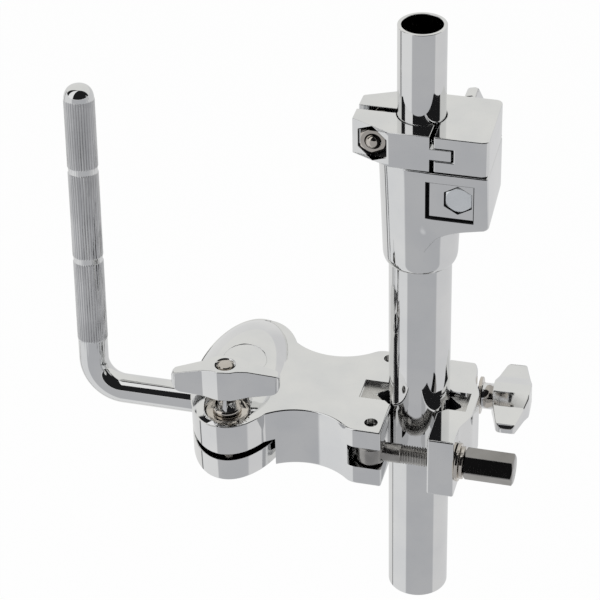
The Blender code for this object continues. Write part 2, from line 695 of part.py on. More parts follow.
def socket_cutters():
    """Ball seat and the tapered mouth that lets the rod swing."""
    turns = [math.pi * i / 16 for i in range(17)]
    seat_r = ball_r + RUN_GAP
    profile = [(seat_r * math.sin(t), -seat_r * math.cos(t)) for t in turns]
    profile[0] = (0.0, -seat_r)
    profile[-1] = (0.0, seat_r)
    seat = move(turned("cut", profile, SMALL_STEPS), ball_point)
    reach = HEAD_HALF_X + PAST
    root = rod_r + EYEBOLT_SLACK
    wide = root / math.cos(math.radians(SWING_LIMIT)) + reach * math.tan(math.radians(SWING_LIMIT))
    start = -HEAD_X + PAST
    outline = [(start, -root), (-HEAD_X - reach, -wide), (-HEAD_X - reach, wide), (start, root)]
    mouth = prism("cut", outline, ball_z - root, ball_z + root)
    return seat, mouth


def bolt_clearance(side, low, high, radius):
    return move(rod_shape("cut", radius, low, high), (-HEAD_X, side * SOCKET_BOLT_Y, 0))


socket_bolt_r = SOCKET_BOLT_DIA / 2
socket_hole_r = socket_bolt_r + RUN_GAP
screw_top = slit_top + SCREW_IN_HEAD


def make_clamp_arm():
    flank = arm_flank()
    outline = flank + [(x, -y) for x, y in reversed(flank)]
    arm = prism("clamp_arm", outline, clamp_low, clamp_top)
    far_left = -HEAD_X - HEAD_HALF_X - PAST
    wide = HEAD_HALF_Y + PAST
    step = box("cut", (far_left, -wide, clamp_low - PAST), (-JAW_STEP_X, wide, slit_top))
    cut(arm, step)
    fuse(arm, make_head())
    tools = [vee_cutter(-1)]
    tools.append(box("cut", (-ARM_POCKET_X, -POCKET_HALF, clamp_top - ARM_POCKET_DEPTH),
                     (-ARM_END_X + PAST, POCKET_HALF, clamp_top + PAST)))
    for side in (-1, 1):
        inner = pin_y[side] - side * (eye_r + EYE_SLACK)
        outer = side * (CLAMP_HALF_WIDTH + PAST)
        half = EYE_HEIGHT / 2 + SEAT_GAP
        tools.append(box("cut", (-EYE_SLOT_X, min(inner, outer), CLAMP_MID_Z - half),
                         (-ARM_END_X + PAST, max(inner, outer), CLAMP_MID_Z + half)))
        hole = rod_shape("cut", PIN_DIA / 2 + SEAT_GAP, clamp_low - PAST, clamp_top + PAST)
        tools.append(move(hole, pin_place(side)))
    tools += socket_cutters()
    crown_clear = clamp_top + HEAD_CROWN + PAST
    tools.append(bolt_clearance(-1, slit_low, crown_clear, socket_hole_r))
    tools.append(bolt_clearance(-1, spot_floor, crown_clear, SPOT_DIA / 2))
    tools.append(bolt_clearance(1, slit_low, screw_top + SEAT_GAP, socket_hole_r))
    cut(arm, *tools)
    return finish(arm, "chrome")


def make_socket_jaw():
    end = -JAW_STEP_X - SEAT_GAP
    jaw = prism("socket_jaw", ellipse(-HEAD_X, HEAD_HALF_X, HEAD_HALF_Y), jaw_low, slit_low)
    tools = [box("cut", (end, -HEAD_HALF_Y - PAST, clamp_low - PAST),
                 (0.0, HEAD_HALF_Y + PAST, slit_low + PAST))]
    tools += socket_cutters()
    ball_hole = turn(rod_shape("cut", BALL_HOLE_DIA / 2, clamp_low - PAST, ball_z), 180 / SMALL_STEPS, "Z")
    tools.append(move(ball_hole, (-HEAD_X, 0, 0)))
    for side in (-1, 1):
        tools.append(bolt_clearance(side, clamp_low - PAST, slit_low + PAST, socket_hole_r))
        tools.append(bolt_clearance(side, clamp_low - PAST, jaw_low + BOLT_HEAD_HEIGHT + 2 * SEAT_GAP,
                                    BOLT_HEAD_DIA / 2 + SEAT_GAP))
    return finish(cut(jaw, *tools), "chrome")


def make_socket_bolt(name, side, top, kind):
    """Headed bolt from below, its head sunk in the lower jaw."""
    head_r = BOLT_HEAD_DIA / 2
    foot = jaw_low + SEAT_GAP
    seat = foot + BOLT_HEAD_HEIGHT
    bolt = turned(name, [(0, foot), (head_r, foot), (head_r, seat), (socket_bolt_r, seat),
                         (socket_bolt_r, top), (0, top)], SMALL_STEPS)
    return finish(move(bolt, (-HEAD_X, side * SOCKET_BOLT_Y, 0)), kind)


def make_outer_jaw():
    left, right = JAW_INNER_X, jaw_outer
    ease = [i / ARC_STEPS for i in range(ARC_STEPS + 1)]
    bulge = [(right + JAW_BULGE * (1 - math.cos(math.pi * t)) / 2,
              -JAW_BULGE_HALF - JAW_BULGE_EASE * (1 - t)) for t in ease]
    outline = [(left, -CLAMP_HALF_WIDTH), (right, -CLAMP_HALF_WIDTH)]
    outline += bulge + [(x, -y) for x, y in reversed(bulge)]
    rear_turn = math.degrees(math.asin((CLAMP_HALF_WIDTH - JAW_REAR_START) / JAW_REAR_RADIUS))
    outline += arc((right - JAW_REAR_RADIUS, JAW_REAR_START), JAW_REAR_RADIUS, 0, rear_turn, 4)
    outline += [(JAW_REAR_INNER_X, CLAMP_HALF_WIDTH), (JAW_REAR_INNER_X, 0.0), (left, 0.0)]
    jaw = prism("outer_jaw", outline, clamp_low, clamp_top)
    hole_r = eyebolt_r + EYEBOLT_SLACK
    inside = JAW_REAR_INNER_X - PAST
    through = right + JAW_BULGE + PAST
    tools = [vee_cutter(1)]
    tools.append(box("cut", (left - PAST, -POCKET_HALF, clamp_top - JAW_POCKET_DEPTH),
                     (right + JAW_BULGE - JAW_POCKET_WALL, POCKET_HALF, clamp_top + PAST)))
    front_hole = along_x(rod_shape("cut", hole_r, inside, through))
    tools.append(move(front_hole, (0, pin_y[-1], CLAMP_MID_Z)))
    rear_hole = along_x(rod_shape("cut", hole_r, inside, through))
    tools.append(move(rear_hole, (0, pin_y[1], CLAMP_MID_Z)))
    tools.append(box("cut", (inside, pin_y[1], CLAMP_MID_Z - hole_r),
                     (through, CLAMP_HALF_WIDTH + PAST, CLAMP_MID_Z + hole_r)))
    spot_r = CLAMP_WASHER_DIA / 2 + 2 * SEAT_GAP
    front_spot = along_x(rod_shape("cut", spot_r, right, through))
    tools.append(move(front_spot, (0, pin_y[-1], CLAMP_MID_Z)))
    rear_spot = turn(along_x(rod_shape("cut", spot_r, 0.0, through - right)), REAR_SWING, "Z")
    tools.append(move(rear_spot, on_rear_axis(right)))
    return finish(cut(jaw, *tools), "chrome")


def make_eyebolt(name, side, nut_x):
    """An eye round its upright pin and a threaded shank along +X."""
    place = pin_place(side) + Vector((0, 0, CLAMP_MID_Z))
    end = nut_x + EYEBOLT_IN_NUT - place.x
    eye = rod_shape(name, eye_r, -EYE_HEIGHT / 2, EYE_HEIGHT / 2)
    shank = along_x(rod_shape("shank", eyebolt_r, PIN_DIA / 2, end))
    fuse(eye, shank)
    cut(eye, rod_shape("cut", PIN_DIA / 2 + RUN_GAP, -EYE_HEIGHT, EYE_HEIGHT))
    if side > 0:
        turn(eye, REAR_SWING, "Z")
    return finish(move(eye, place), "steel", place)


make_clamp_arm()
make_socket_jaw()
make_outer_jaw()
for side, label in ((-1, "front"), (1, "rear")):
    make_eyebolt(label + "_eyebolt", side, hex_nut_x if side < 0 else rear_nut_x)
    pin = rod_shape(label + "_eyebolt_pin", PIN_DIA / 2, clamp_low + PIN_RECESS, clamp_top - PIN_RECESS)
    finish(move(pin, pin_place(side)), "steel")
    clamp_washer = along_x(washer(label + "_washer", eyebolt_r, CLAMP_WASHER_DIA))
    if side < 0:
        move(clamp_washer, (washer_x, pin_y[side], CLAMP_MID_Z))
    else:
        move(turn(clamp_washer, REAR_SWING, "Z"), on_rear_axis(washer_x))
    finish(clamp_washer, "nickel")

lock_washer = along_x(washer("front_lock_washer", eyebolt_r, LOCK_WASHER_DIA))
finish(move(lock_washer, (lock_washer_x, pin_y[-1], CLAMP_MID_Z)), "nickel")

front_axis = Vector((hex_nut_x, pin_y[-1], CLAMP_MID_Z))
hex_nut = prism("long_hex_nut", hexagon(HEX_NUT_FLATS), 0.0, HEX_NUT_LENGTH, "X")
nut_bore = along_x(rod_shape("cut", eyebolt_r + RUN_GAP, -PAST, EYEBOLT_IN_NUT + SEAT_GAP))
finish(move(cut(hex_nut, nut_bore), front_axis), "chrome", front_axis)

rear_axis = on_rear_axis(rear_nut_x)
rear_nut = wing_nut("rear_wing_nut", eyebolt_r, REAR_HUB_DIA, REAR_WING_SPAN, REAR_NUT_HEIGHT,
                    REAR_WING_TIP_LIFT, EYEBOLT_IN_NUT + SEAT_GAP)
along_x(rear_nut)
turn(turn(rear_nut, -REAR_WING_TURN, "X"), REAR_SWING, "Z")
finish(move(rear_nut, rear_axis), "chrome", rear_axis)

# Ball socket hardware
make_socket_bolt("socket_bolt", -1, socket_stud_top, "nickel")
make_socket_bolt("socket_rear_screw", 1, screw_top, "steel")
socket_axis = Vector((-HEAD_X, -SOCKET_BOLT_Y, 0))
socket_washer = washer("socket_washer", socket_bolt_r, SOCKET_WASHER_DIA)
finish(move(socket_washer, socket_axis + Vector((0, 0, spot_floor + SEAT_GAP))), "nickel")
collar_r = COLLAR_DIA / 2
collar = turned("socket_collar", [
    (socket_hole_r, 0), (collar_r, 0), (collar_r, COLLAR_HEIGHT * 0.5), (WING_HUB_DIA / 2, COLLAR_HEIGHT),
    (socket_hole_r, COLLAR_HEIGHT)], SMALL_STEPS)
finish(move(collar, socket_axis + Vector((0, 0, collar_z))), "nickel")
socket_nut = wing_nut("socket_wing_nut", socket_bolt_r, WING_HUB_DIA, SOCKET_WING_SPAN, WING_NUT_HEIGHT,
                      WING_TIP_LIFT, WING_NUT_HEIGHT + PAST)
turn(socket_nut, SOCKET_WING_TURN, "Z")
socket_nut_place = socket_axis + Vector((0, 0, socket_nut_z))
finish(move(socket_nut, socket_nut_place), "chrome", socket_nut_place)


# Ball and L-rod
def make_ball():
    bore_r = rod_r + RUN_GAP
    reach = math.degrees(math.acos(bore_r / ball_r))
    profile = [(r, z) for r, z in arc((0, 0), ball_r, -reach, reach, 12)]
    ball = turned("socket_ball", [(bore_r, -ball_r * math.sin(math.radians(reach)))] + profile[1:-1]
                  + [(bore_r, ball_r * math.sin(math.radians(reach)))], SMALL_STEPS)
    return finish(move(along_x(ball), ball_point), "nylon", ball_point)


def rod_path():
    """Points, directions and radii along the rod from its tail in the ball to its domed tip."""
    end_angle = math.radians(ROD_BEND_ANGLE)
    setback = ROD_BEND_RADIUS * math.tan(end_angle / 2)
    stations = [((ROD_TAIL, 0.0), 0.0, rod_r)]
    bend_x = -ROD_CORNER + setback
    for i in range(BEND_STEPS + 1):
        angle = end_angle * i / BEND_STEPS
        point = (bend_x - ROD_BEND_RADIUS * math.sin(angle), ROD_BEND_RADIUS * (1 - math.cos(angle)))
        stations.append((point, angle, rod_r))
    along = Vector((-math.cos(end_angle), math.sin(end_angle)))
    corner = Vector((-ROD_CORNER, 0.0))

    def leg(distance, radius):
        point = corner + along * distance
        stations.append(((point.x, point.y), end_angle, radius))

    groove_r = rod_r - ROD_GROOVE_DEPTH
    for groove in (ROD_GROOVE_SECOND, ROD_GROOVE_FIRST):
        middle = ROD_RISE - groove
        for offset, radius in ((-1, rod_r), (-0.7, groove_r), (0.7, groove_r), (1, rod_r)):
            leg(middle + offset * ROD_GROOVE_WIDTH / 2, radius)
    for i in range(6):
        tilt = math.radians(90 * i / 6)
        leg(ROD_RISE - rod_r + rod_r * math.sin(tilt), rod_r * math.cos(tilt))
    tip = corner + along * ROD_RISE
    return stations, (tip.x, tip.y)


def make_rod():
    stations, tip = rod_path()
    bm = bmesh.new()
    rings = []
    for (x, z), angle, radius in stations:
        across = Vector((math.sin(angle), 0, math.cos(angle)))
        ring = []
        for i in range(SMALL_STEPS):
            t = math.tau * i / SMALL_STEPS
            ring.append(bm.verts.new(Vector((x, 0, z)) + across * radius * math.cos(t)
                                     + Vector((0, 1, 0)) * radius * math.sin(t)))
        rings.append(ring)
    for here, there in zip(rings, rings[1:]):
        for i in range(SMALL_STEPS):
            j = (i + 1) % SMALL_STEPS
            bm.faces.new((here[i], here[j], there[j], there[i]))
    bm.faces.new(rings[0])
    peak = bm.verts.new((tip[0], 0, tip[1]))
    for i in range(SMALL_STEPS):
        bm.faces.new((rings[-1][i], rings[-1][(i + 1) % SMALL_STEPS], peak))
    rod = turn(add_object("l_rod", bm), -ROD_LEAN, "X")
    return finish(move(rod, ball_point), "chrome", ball_point)


make_ball()
make_rod()
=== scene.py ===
import math

import bmesh
import bpy
from mathutils import Matrix, Vector


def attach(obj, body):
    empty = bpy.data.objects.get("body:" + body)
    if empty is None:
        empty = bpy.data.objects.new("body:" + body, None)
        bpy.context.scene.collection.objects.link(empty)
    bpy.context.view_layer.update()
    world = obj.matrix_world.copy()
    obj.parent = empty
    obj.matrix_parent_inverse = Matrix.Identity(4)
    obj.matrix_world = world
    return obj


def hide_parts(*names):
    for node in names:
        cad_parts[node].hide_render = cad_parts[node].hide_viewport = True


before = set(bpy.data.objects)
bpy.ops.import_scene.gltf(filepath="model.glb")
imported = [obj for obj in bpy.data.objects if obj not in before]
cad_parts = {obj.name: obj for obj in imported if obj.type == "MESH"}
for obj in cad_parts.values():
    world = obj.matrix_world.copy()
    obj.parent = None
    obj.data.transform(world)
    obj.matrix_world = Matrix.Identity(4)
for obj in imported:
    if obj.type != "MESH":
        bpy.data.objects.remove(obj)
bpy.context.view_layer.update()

# Stand tube
# The thick lower tube of the stand, of rolled steel, chromed and sawn square at both ends.
# The joint is pushed on its upper end, and the V-clamp grips it halfway down.
STAND_OUTER = 0.0127
STAND_INNER = 0.0111
STAND_TOP = 0.187
CHROME_PALE = (0.82, 0.82, 0.815)
CHROME_DEEP = (0.77, 0.775, 0.78)


def select_only(piece):
    bpy.ops.object.select_all(action="DESELECT")
    piece.select_set(True)
    bpy.context.view_layer.objects.active = piece


def start_piece(name, add, **size):
    """Add a primitive and make it the only selected object."""
    bpy.ops.object.select_all(action="DESELECT")
    add(**size)
    piece = bpy.context.active_object
    piece.name = name
    piece.data.name = name
    return piece


def turned(name, profile, steps):
    """Spin a closed outline of (radius, height) points round Z."""
    piece = start_piece(name, bpy.ops.mesh.primitive_circle_add, vertices=len(profile), radius=1.0)
    for vert, (radius, height) in zip(piece.data.vertices, profile):
        vert.co = (radius, 0.0, height)
    bpy.ops.object.mode_set(mode="EDIT")
    bpy.ops.mesh.select_all(action="SELECT")
    bpy.ops.mesh.spin(steps=steps, angle=math.tau, center=(0, 0, 0), axis=(0, 0, 1))
    bpy.ops.mesh.select_all(action="SELECT")
    bpy.ops.mesh.remove_doubles(threshold=1e-6)
    bpy.ops.mesh.dissolve_degenerate(threshold=1e-7)
    bpy.ops.mesh.delete_loose()
    bpy.ops.mesh.select_all(action="SELECT")
    bpy.ops.mesh.normals_make_consistent(inside=False)
    bpy.ops.object.mode_set(mode="OBJECT")
    return piece


def change(piece, kind, **settings):
    """Add a modifier with these settings and apply it."""
    select_only(piece)
    modifier = piece.modifiers.new(kind.lower(), kind)
    for key, value in settings.items():
        setattr(modifier, key, value)
    bpy.ops.object.modifier_apply(modifier=modifier.name)
    return piece


def smooth(piece, angle=40):
    """Smooth shading that keeps the flats flat and the sharp edges sharp."""
    select_only(piece)
    bpy.ops.object.shade_smooth_by_angle(angle=math.radians(angle))
    return change(piece, "WEIGHTED_NORMAL", keep_sharp=True, weight=50)


def round_off(piece, width, segments=4, angle=33):
    """Round every edge sharper than the angle."""
    change(piece, "BEVEL", width=width, segments=segments, limit_method="ANGLE",
           angle_limit=math.radians(angle), use_clamp_overlap=False)
    return smooth(piece)


def tube(name, inner, outer, low, high, steps):
    """A straight open tube with eased edges."""
    return round_off(turned(name, [(inner, low), (outer, low), (outer, high), (inner, high)], steps), 0.0003)


def new_material(name):
    material = bpy.data.materials.new(name)
    material.use_nodes = True
    return material


def add_node(tree, kind, **inputs):
    """Add a shader node and set its inputs by name, with _ for a space."""
    node = tree.nodes.new("ShaderNode" + kind)
    for name, value in inputs.items():
        node.inputs[name.replace("_", " ")].default_value = value
    return node


def ramp(tree, stops):
    """A colour ramp with these (position, colour) stops."""
    node = add_node(tree, "ValToRGB")
    elements = node.color_ramp.elements
    for position, colour in stops[1:-1]:
        elements.new(position).color = (*colour, 1.0)
    for element, (position, colour) in ((elements[0], stops[0]), (elements[-1], stops[-1])):
        element.position = position
        element.color = (*colour, 1.0)
    return node


def plated(name, pale, deep, bright, dull, ripple):
    """Plated metal with a cloudy tint, handling marks in its gloss and a faint ripple under the plating."""
    material = new_material(name)
    tree = material.node_tree
    links = tree.links
    shader = tree.nodes["Principled BSDF"]
    shader.inputs["Metallic"].default_value = 1.0
    place = add_node(tree, "TexCoord")
    cloud = add_node(tree, "TexNoise", Scale=60.0, Detail=4.0)
    tint = ramp(tree, [(0.35, deep), (0.62, pale)])
    marks = add_node(tree, "TexNoise", Scale=420.0, Detail=6.0, Roughness=0.65)
    gloss = add_node(tree, "MapRange", From_Min=0.35, From_Max=0.75, To_Min=bright, To_Max=dull)
    waves = add_node(tree, "TexNoise", Scale=130.0, Detail=2.0)
    bump = add_node(tree, "Bump", Strength=ripple, Distance=0.0001)
    for noise in (cloud, marks, waves):
        links.new(place.outputs["Object"], noise.inputs["Vector"])
    links.new(cloud.outputs["Fac"], tint.inputs["Fac"])
    links.new(tint.outputs["Color"], shader.inputs["Base Color"])
    links.new(marks.outputs["Fac"], gloss.inputs["Value"])
    links.new(gloss.outputs["Result"], shader.inputs["Roughness"])
    links.new(waves.outputs["Fac"], bump.inputs["Height"])
    links.new(bump.outputs["Normal"], shader.inputs["Normal"])
    return material


def fit(piece, material, body, node):
    """Give a piece its finish and put it on its body, in place of a CAD node."""
    piece.data.materials.clear()
    piece.data.materials.append(material)
    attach(piece, body)
    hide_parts(node)


chrome = plated("chrome_plate", CHROME_PALE, CHROME_DEEP, 0.025, 0.07, 0.05)
stand_tube = tube("stand_tube", STAND_INNER, STAND_OUTER, 0.0, STAND_TOP, 128)
fit(stand_tube, chrome, "base", "lower_tube")

# Joint body
# A zinc casting, polished and chromed: a sleeve round the tube's end that flows into a square block.
# The block's underside sweeps down and its lip runs out on the sleeve, over a fine crease. A square
# window in the front takes the insert, and a dull, near-black sheet over its walls is painted shade.
SLEEVE_FOOT = 0.1687
SLEEVE_FOOT_R = 0.0151
SLEEVE_TOP_R = 0.0165
FOOT_ROUND_HIGH = 0.0045
FOOT_ROUND_DEEP = 0.0016
TAPER_FOOT = 0.1732
TAPER_LENGTH = 0.0408
MERGE_FOOT = 0.1798
MERGE_LENGTH = 0.0122
JOINT_TOP = 0.2181
BLOCK_HALF = 0.0169
BLOCK_END = 0.0284
BLOCK_CORNER = 0.0014
BLOCK_BLEND = 0.0085
BLOCK_UNDER = 0.1949
UNDER_SLOPE = 0.2
UNDER_SWEEP = 29500
LIP_END = 0.0048
LIP_CORNER = 0.0007
LIP_ROUND = 0.0018
CREASE_START = 0.0046
CREASE_LENGTH = 0.0090
SPLAY_START = 0.015
JOINT_ROUND = 0.0007
WINDOW = ((0.0051, -0.0189, 0.1973), (0.0243, -0.0124, 0.2140))
WINDOW_LINING = ((0.00513, -0.0166, 0.19733), (0.02427, -0.01242, 0.21397))
LINING_HOLLOW = ((0.00528, -0.018, 0.19748), (0.02412, -0.01255, 0.2200))
TUBE_SEAT_R = 0.0130
BUSHING_R = 0.012325
BUSHING_MOUTH_R = 0.0131
# Near-black colours of the painted shade in the window, the bolt recess, the lock's pocket, under the lock and on the
# V faces.
SHADE_PALE = (0.022, 0.022, 0.024)
SHADE_DEEP = (0.012, 0.012, 0.013)
BOLT_HOLE = 0.0033
LINING_HOLE = 0.0034
JOINT_BOLT = Vector((0.0183, 0.0, 0.2075))


def plate(name, outline, low, high, axis="Z"):
    """Extrude a flat outline between two depths along an axis."""
    place = {"X": lambda u, v: (low, u, v), "Y": lambda u, v: (u, low, v), "Z": lambda u, v: (u, v, low)}[axis]
    depth = [high - low if letter == axis else 0.0 for letter in "XYZ"]
    piece = start_piece(name, bpy.ops.mesh.primitive_circle_add, vertices=len(outline), fill_type="NGON")
    for vert, (u, v) in zip(piece.data.vertices, outline):
        vert.co = place(u, v)
    bpy.ops.object.mode_set(mode="EDIT")
    bpy.ops.mesh.select_all(action="SELECT")
    bpy.ops.mesh.extrude_region_move(TRANSFORM_OT_translate={"value": depth})
    bpy.ops.mesh.select_all(action="SELECT")
    bpy.ops.mesh.normals_make_consistent(inside=False)
    bpy.ops.object.mode_set(mode="OBJECT")
    return piece


def lofted(name, rings):
    """Skin a row of rings that have the same number of points, and close both ends."""
    bm = bmesh.new()
    rows = [[bm.verts.new(point) for point in ring] for ring in rings]
    for here, there in zip(rows, rows[1:]):
        for i in range(len(here)):
            j = (i + 1) % len(here)
            bm.faces.new((here[i], here[j], there[j], there[i]))
    bm.faces.new(rows[0])
    bm.faces.new(rows[-1])
    bmesh.ops.recalc_face_normals(bm, faces=bm.faces)
    piece = start_piece(name, bpy.ops.mesh.primitive_circle_add, vertices=3)
    bm.to_mesh(piece.data)
    bm.free()
    return piece


def combine(piece, tool, operation):
    change(piece, "BOOLEAN", operation=operation, solver="EXACT", object=tool)
    bpy.data.objects.remove(tool, do_unlink=True)
    return piece


def carve(piece, *tools):
    for tool in tools:
        combine(piece, tool, "DIFFERENCE")
    return piece


def block(low, high):
    """A square block between two corners."""
    outline = [(low[0], low[1]), (high[0], low[1]), (high[0], high[1]), (low[0], high[1])]
    return plate("cutter", outline, low[2], high[2])


def lay(piece, axis):
    """Turn a piece made along +Z so that it points along another axis."""
    if axis == "X":
        piece.data.transform(Matrix.Rotation(math.radians(90), 4, "Y"))
    if axis == "Y":
        piece.data.transform(Matrix.Rotation(math.radians(-90), 4, "X"))
    return piece


def drill(radius, low, high, axis="Z", at=(0, 0, 0), steps=48):
    """A round cutter along an axis."""
    tool = turned("cutter", [(0, low), (radius, low), (radius, high), (0, high)], steps)
    lay(tool, axis)
    tool.data.transform(Matrix.Translation(at))
    return tool


def arc(centre, radius, start, end, steps):
    turns = [math.radians(start + (end - start) * i / steps) for i in range(steps + 1)]
    return [(centre[0] + radius * math.cos(t), centre[1] + radius * math.sin(t)) for t in turns]


def ease(t):
    t = min(1.0, max(0.0, t))
    return t * t * (3 - 2 * t)


def half_chord(radius, x):
    return math.sqrt(max(0.0, radius ** 2 - x ** 2))


def sleeve_radius(z):
    return SLEEVE_FOOT_R + (SLEEVE_TOP_R - SLEEVE_FOOT_R) * min(1.0, max(0.0, (z - TAPER_FOOT) / TAPER_LENGTH))


def joint_ring(z, end, corner, inset=0.0):
    """Outline of sleeve and block together at one height, with the block or its lip stopping at end."""
    radius = sleeve_radius(z) - inset
    merge = ease((z - MERGE_FOOT) / MERGE_LENGTH)

    def half(x):
        bow = half_chord(radius, x)
        flat = radius + (BLOCK_HALF - inset - radius) * ease(x / BLOCK_BLEND)
        return bow + (flat - bow) * merge

    lip = half(end) - half_chord(radius, end)
    corner = min(corner, 0.45 * lip)
    stop = end - max(corner, 0.0002)
    side = [(stop * i / 20, half(stop * i / 20)) for i in range(1, 21)]
    if corner < 0.00002:
        side += [(stop + (end - stop) * i / 8, half(stop + (end - stop) * i / 8)) for i in range(1, 9)]
    else:
        side += arc((stop, half(stop) - corner), end - stop, 90, 0, 8)[1:]
    reach = side[-1][1]
    for i in range(1, 49):
        y = reach * math.cos(math.pi / 2 * i / 48)
        side.append((max(end, half_chord(radius, y)), y))
    ring = arc((0, 0), radius, 90, 270, 48) + [(x, -y) for x, y in side] + list(reversed(side[:-1]))
    return [(x, y, z) for x, y in ring]


def underside(x):
    """Height of the block's swept underside."""
    return BLOCK_UNDER - UNDER_SLOPE * (BLOCK_END - x) - UNDER_SWEEP * (BLOCK_END - x) ** 4


def lip_crease():
    """Groove on the sleeve along the foot of the lip, that runs out at both ends."""
    rings = []
    for i in range(25):
        x = CREASE_START + CREASE_LENGTH * i / 24
        z = underside(x) - 0.0002
        outward = Vector((x, -half_chord(sleeve_radius(z), x), 0)).normalized()
        middle = outward * sleeve_radius(z) + Vector((0, 0, z))
        girth = 0.0002 + 0.0005 * math.sin(math.pi * i / 24)
        turns = [math.tau * k / 16 for k in range(16)]
        rings.append([middle + girth * (outward * math.cos(t) + Vector((0, 0, math.sin(t)))) for t in turns])
    return lofted("cutter", rings)


def splay(piece):
    """Lean the end face outwards, most at its lower front corner."""
    for vert in piece.data.vertices:
        share = max(0.0, (vert.co.x - SPLAY_START) / (BLOCK_END - SPLAY_START))
        front = 0.5 - vert.co.y / (2 * BLOCK_HALF)
        low = max(0.0, (JOINT_TOP - vert.co.z) / 0.022)
        vert.co.x += share * (0.0004 + front * (0.0007 + 0.0008 * low))
    return piece


def shade_finish(name, pale, deep):
    """Dull near-black metal that paints the shade in hollows, gaps and under parts."""
    material = plated(name, pale, deep, 0.55, 0.75, 0.3)
    material.node_tree.nodes["Principled BSDF"].inputs["Metallic"].default_value = 0.4
    return material


def add_lining(piece, name, material, body):
    """Name a thin lining, give it its finish and fix it in the casting that it lines."""
    piece.name = name
    piece.data.name = name
    piece.data.materials.append(material)
    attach(piece, body)


joint_rings = []
for i in range(9):
    t = math.radians(90 * i / 8)
    z = SLEEVE_FOOT + FOOT_ROUND_HIGH * (1 - math.cos(t))
    joint_rings.append(joint_ring(z, LIP_END, 0.0, FOOT_ROUND_DEEP * (1 - math.sin(t))))
joint_rings += [joint_ring(z, LIP_END, 0.0) for z in (0.1760, 0.1785, 0.1804)]
lip_stop = BLOCK_END - LIP_ROUND
for i in range(33):
    end = LIP_END + (lip_stop - LIP_END) * i / 32
    corner = LIP_CORNER + (BLOCK_CORNER - LIP_CORNER) * ease((end - 0.022) / 0.0056)
    joint_rings.append(joint_ring(underside(end), end, corner))
for i in range(1, 7):
    t = math.radians(90 * i / 6)
    z = underside(lip_stop) + 0.002 * (1 - math.cos(t))
    joint_rings.append(joint_ring(z, lip_stop + LIP_ROUND * math.sin(t), BLOCK_CORNER))
joint_rings += [joint_ring(z, BLOCK_END, BLOCK_CORNER) for z in (0.1990, 0.2030, 0.2080, 0.2130, 0.2160)]
for i in range(7):
    t = math.radians(90 * i / 6)
    inset = JOINT_ROUND * (1 - math.cos(t))
    z = JOINT_TOP - JOINT_ROUND * (1 - math.sin(t))
    joint_rings.append(joint_ring(z, BLOCK_END - inset, BLOCK_CORNER - inset, inset))
joint_body = splay(lofted("joint_body", joint_rings))
bushing_bore = turned("cutter", [(0, 0.185), (BUSHING_R, 0.185), (BUSHING_R, 0.2176), (BUSHING_MOUTH_R, 0.2184),
                                 (BUSHING_MOUTH_R, 0.23), (0, 0.23)], 96)
carve(joint_body, drill(TUBE_SEAT_R, 0.16, STAND_TOP + 0.0003, steps=96), bushing_bore, block(*WINDOW),
      drill(BOLT_HOLE, -0.02, 0.03, "Y", JOINT_BOLT), lip_crease())
smooth(joint_body)
fit(joint_body, chrome, "base", "joint_casting")

# Painted shade: a dull near-black metal for the hollows, gaps and undersides below.
shade_paint = shade_finish("painted_shade_metal", SHADE_PALE, SHADE_DEEP)
# A thin near-black sheet over the window's walls is painted shade in the window.
window_shade_lining = block(*WINDOW_LINING)
carve(window_shade_lining, block(*LINING_HOLLOW), drill(LINING_HOLE, -0.02, 0.0, "Y", JOINT_BOLT))
add_lining(window_shade_lining, "window_shade_lining", shade_paint, "base")

# Insert, bushing, bolt and washer of the joint
# The chromed insert sits in the window with a shadow gap, and holds the zinc-plated hex bolt from turning.
# A black nylon bushing guides the upper tube, and a nickel washer lies behind the block.
ZINC_PALE = (0.92, 0.945, 0.96)
ZINC_DEEP = (0.84, 0.87, 0.89)
NICKEL_PALE = (0.66, 0.62, 0.57)
NICKEL_DEEP = (0.56, 0.52, 0.47)
NYLON_PALE = (0.06, 0.06, 0.063)
NYLON_DEEP = (0.035, 0.035, 0.038)
INSERT = ((0.0069, -0.0169, 0.1991), (0.0240, -0.0127, 0.2139))
HEX_FLATS = 0.0100
HEX_CORNER_R = 0.0060
SHANK_R = 0.0030


def solid_copy(name, node):
    """A merged copy of a CAD node's mesh with whole flat faces."""
    piece = start_piece(name, bpy.ops.mesh.primitive_circle_add, vertices=3)
    piece.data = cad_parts[node].data.copy()
    piece.data.name = name
    select_only(piece)
    bpy.ops.mesh.customdata_custom_splitnormals_clear()
    bpy.ops.object.mode_set(mode="EDIT")
    bpy.ops.mesh.select_all(action="SELECT")
    bpy.ops.mesh.remove_doubles(threshold=2e-6)
    bpy.ops.mesh.dissolve_limited(angle_limit=math.radians(0.6))
    bpy.ops.object.mode_set(mode="OBJECT")
    return piece


def moulded(name, pale, deep):
    """Matt black nylon with a fine grain."""
    material = new_material(name)
    tree = material.node_tree
    links = tree.links
    shader = tree.nodes["Principled BSDF"]
    place = add_node(tree, "TexCoord")
    grain = add_node(tree, "TexNoise", Scale=900.0, Detail=5.0)
    tint = ramp(tree, [(0.0, deep), (1.0, pale)])
    gloss = add_node(tree, "MapRange", To_Min=0.38, To_Max=0.55)
    bump = add_node(tree, "Bump", Strength=0.2, Distance=0.0001)
    links.new(place.outputs["Object"], grain.inputs["Vector"])
    links.new(grain.outputs["Fac"], tint.inputs["Fac"])
    links.new(tint.outputs["Color"], shader.inputs["Base Color"])
    links.new(grain.outputs["Fac"], gloss.inputs["Value"])
    links.new(gloss.outputs["Result"], shader.inputs["Roughness"])
    links.new(grain.outputs["Fac"], bump.inputs["Height"])
    links.new(bump.outputs["Normal"], shader.inputs["Normal"])
    return material


def hexagon(flats, first=0):
    corner = flats / math.sqrt(3)
    turns = [math.radians(first + 60 * i) for i in range(6)]
    return [(corner * math.cos(t), corner * math.sin(t)) for t in turns]


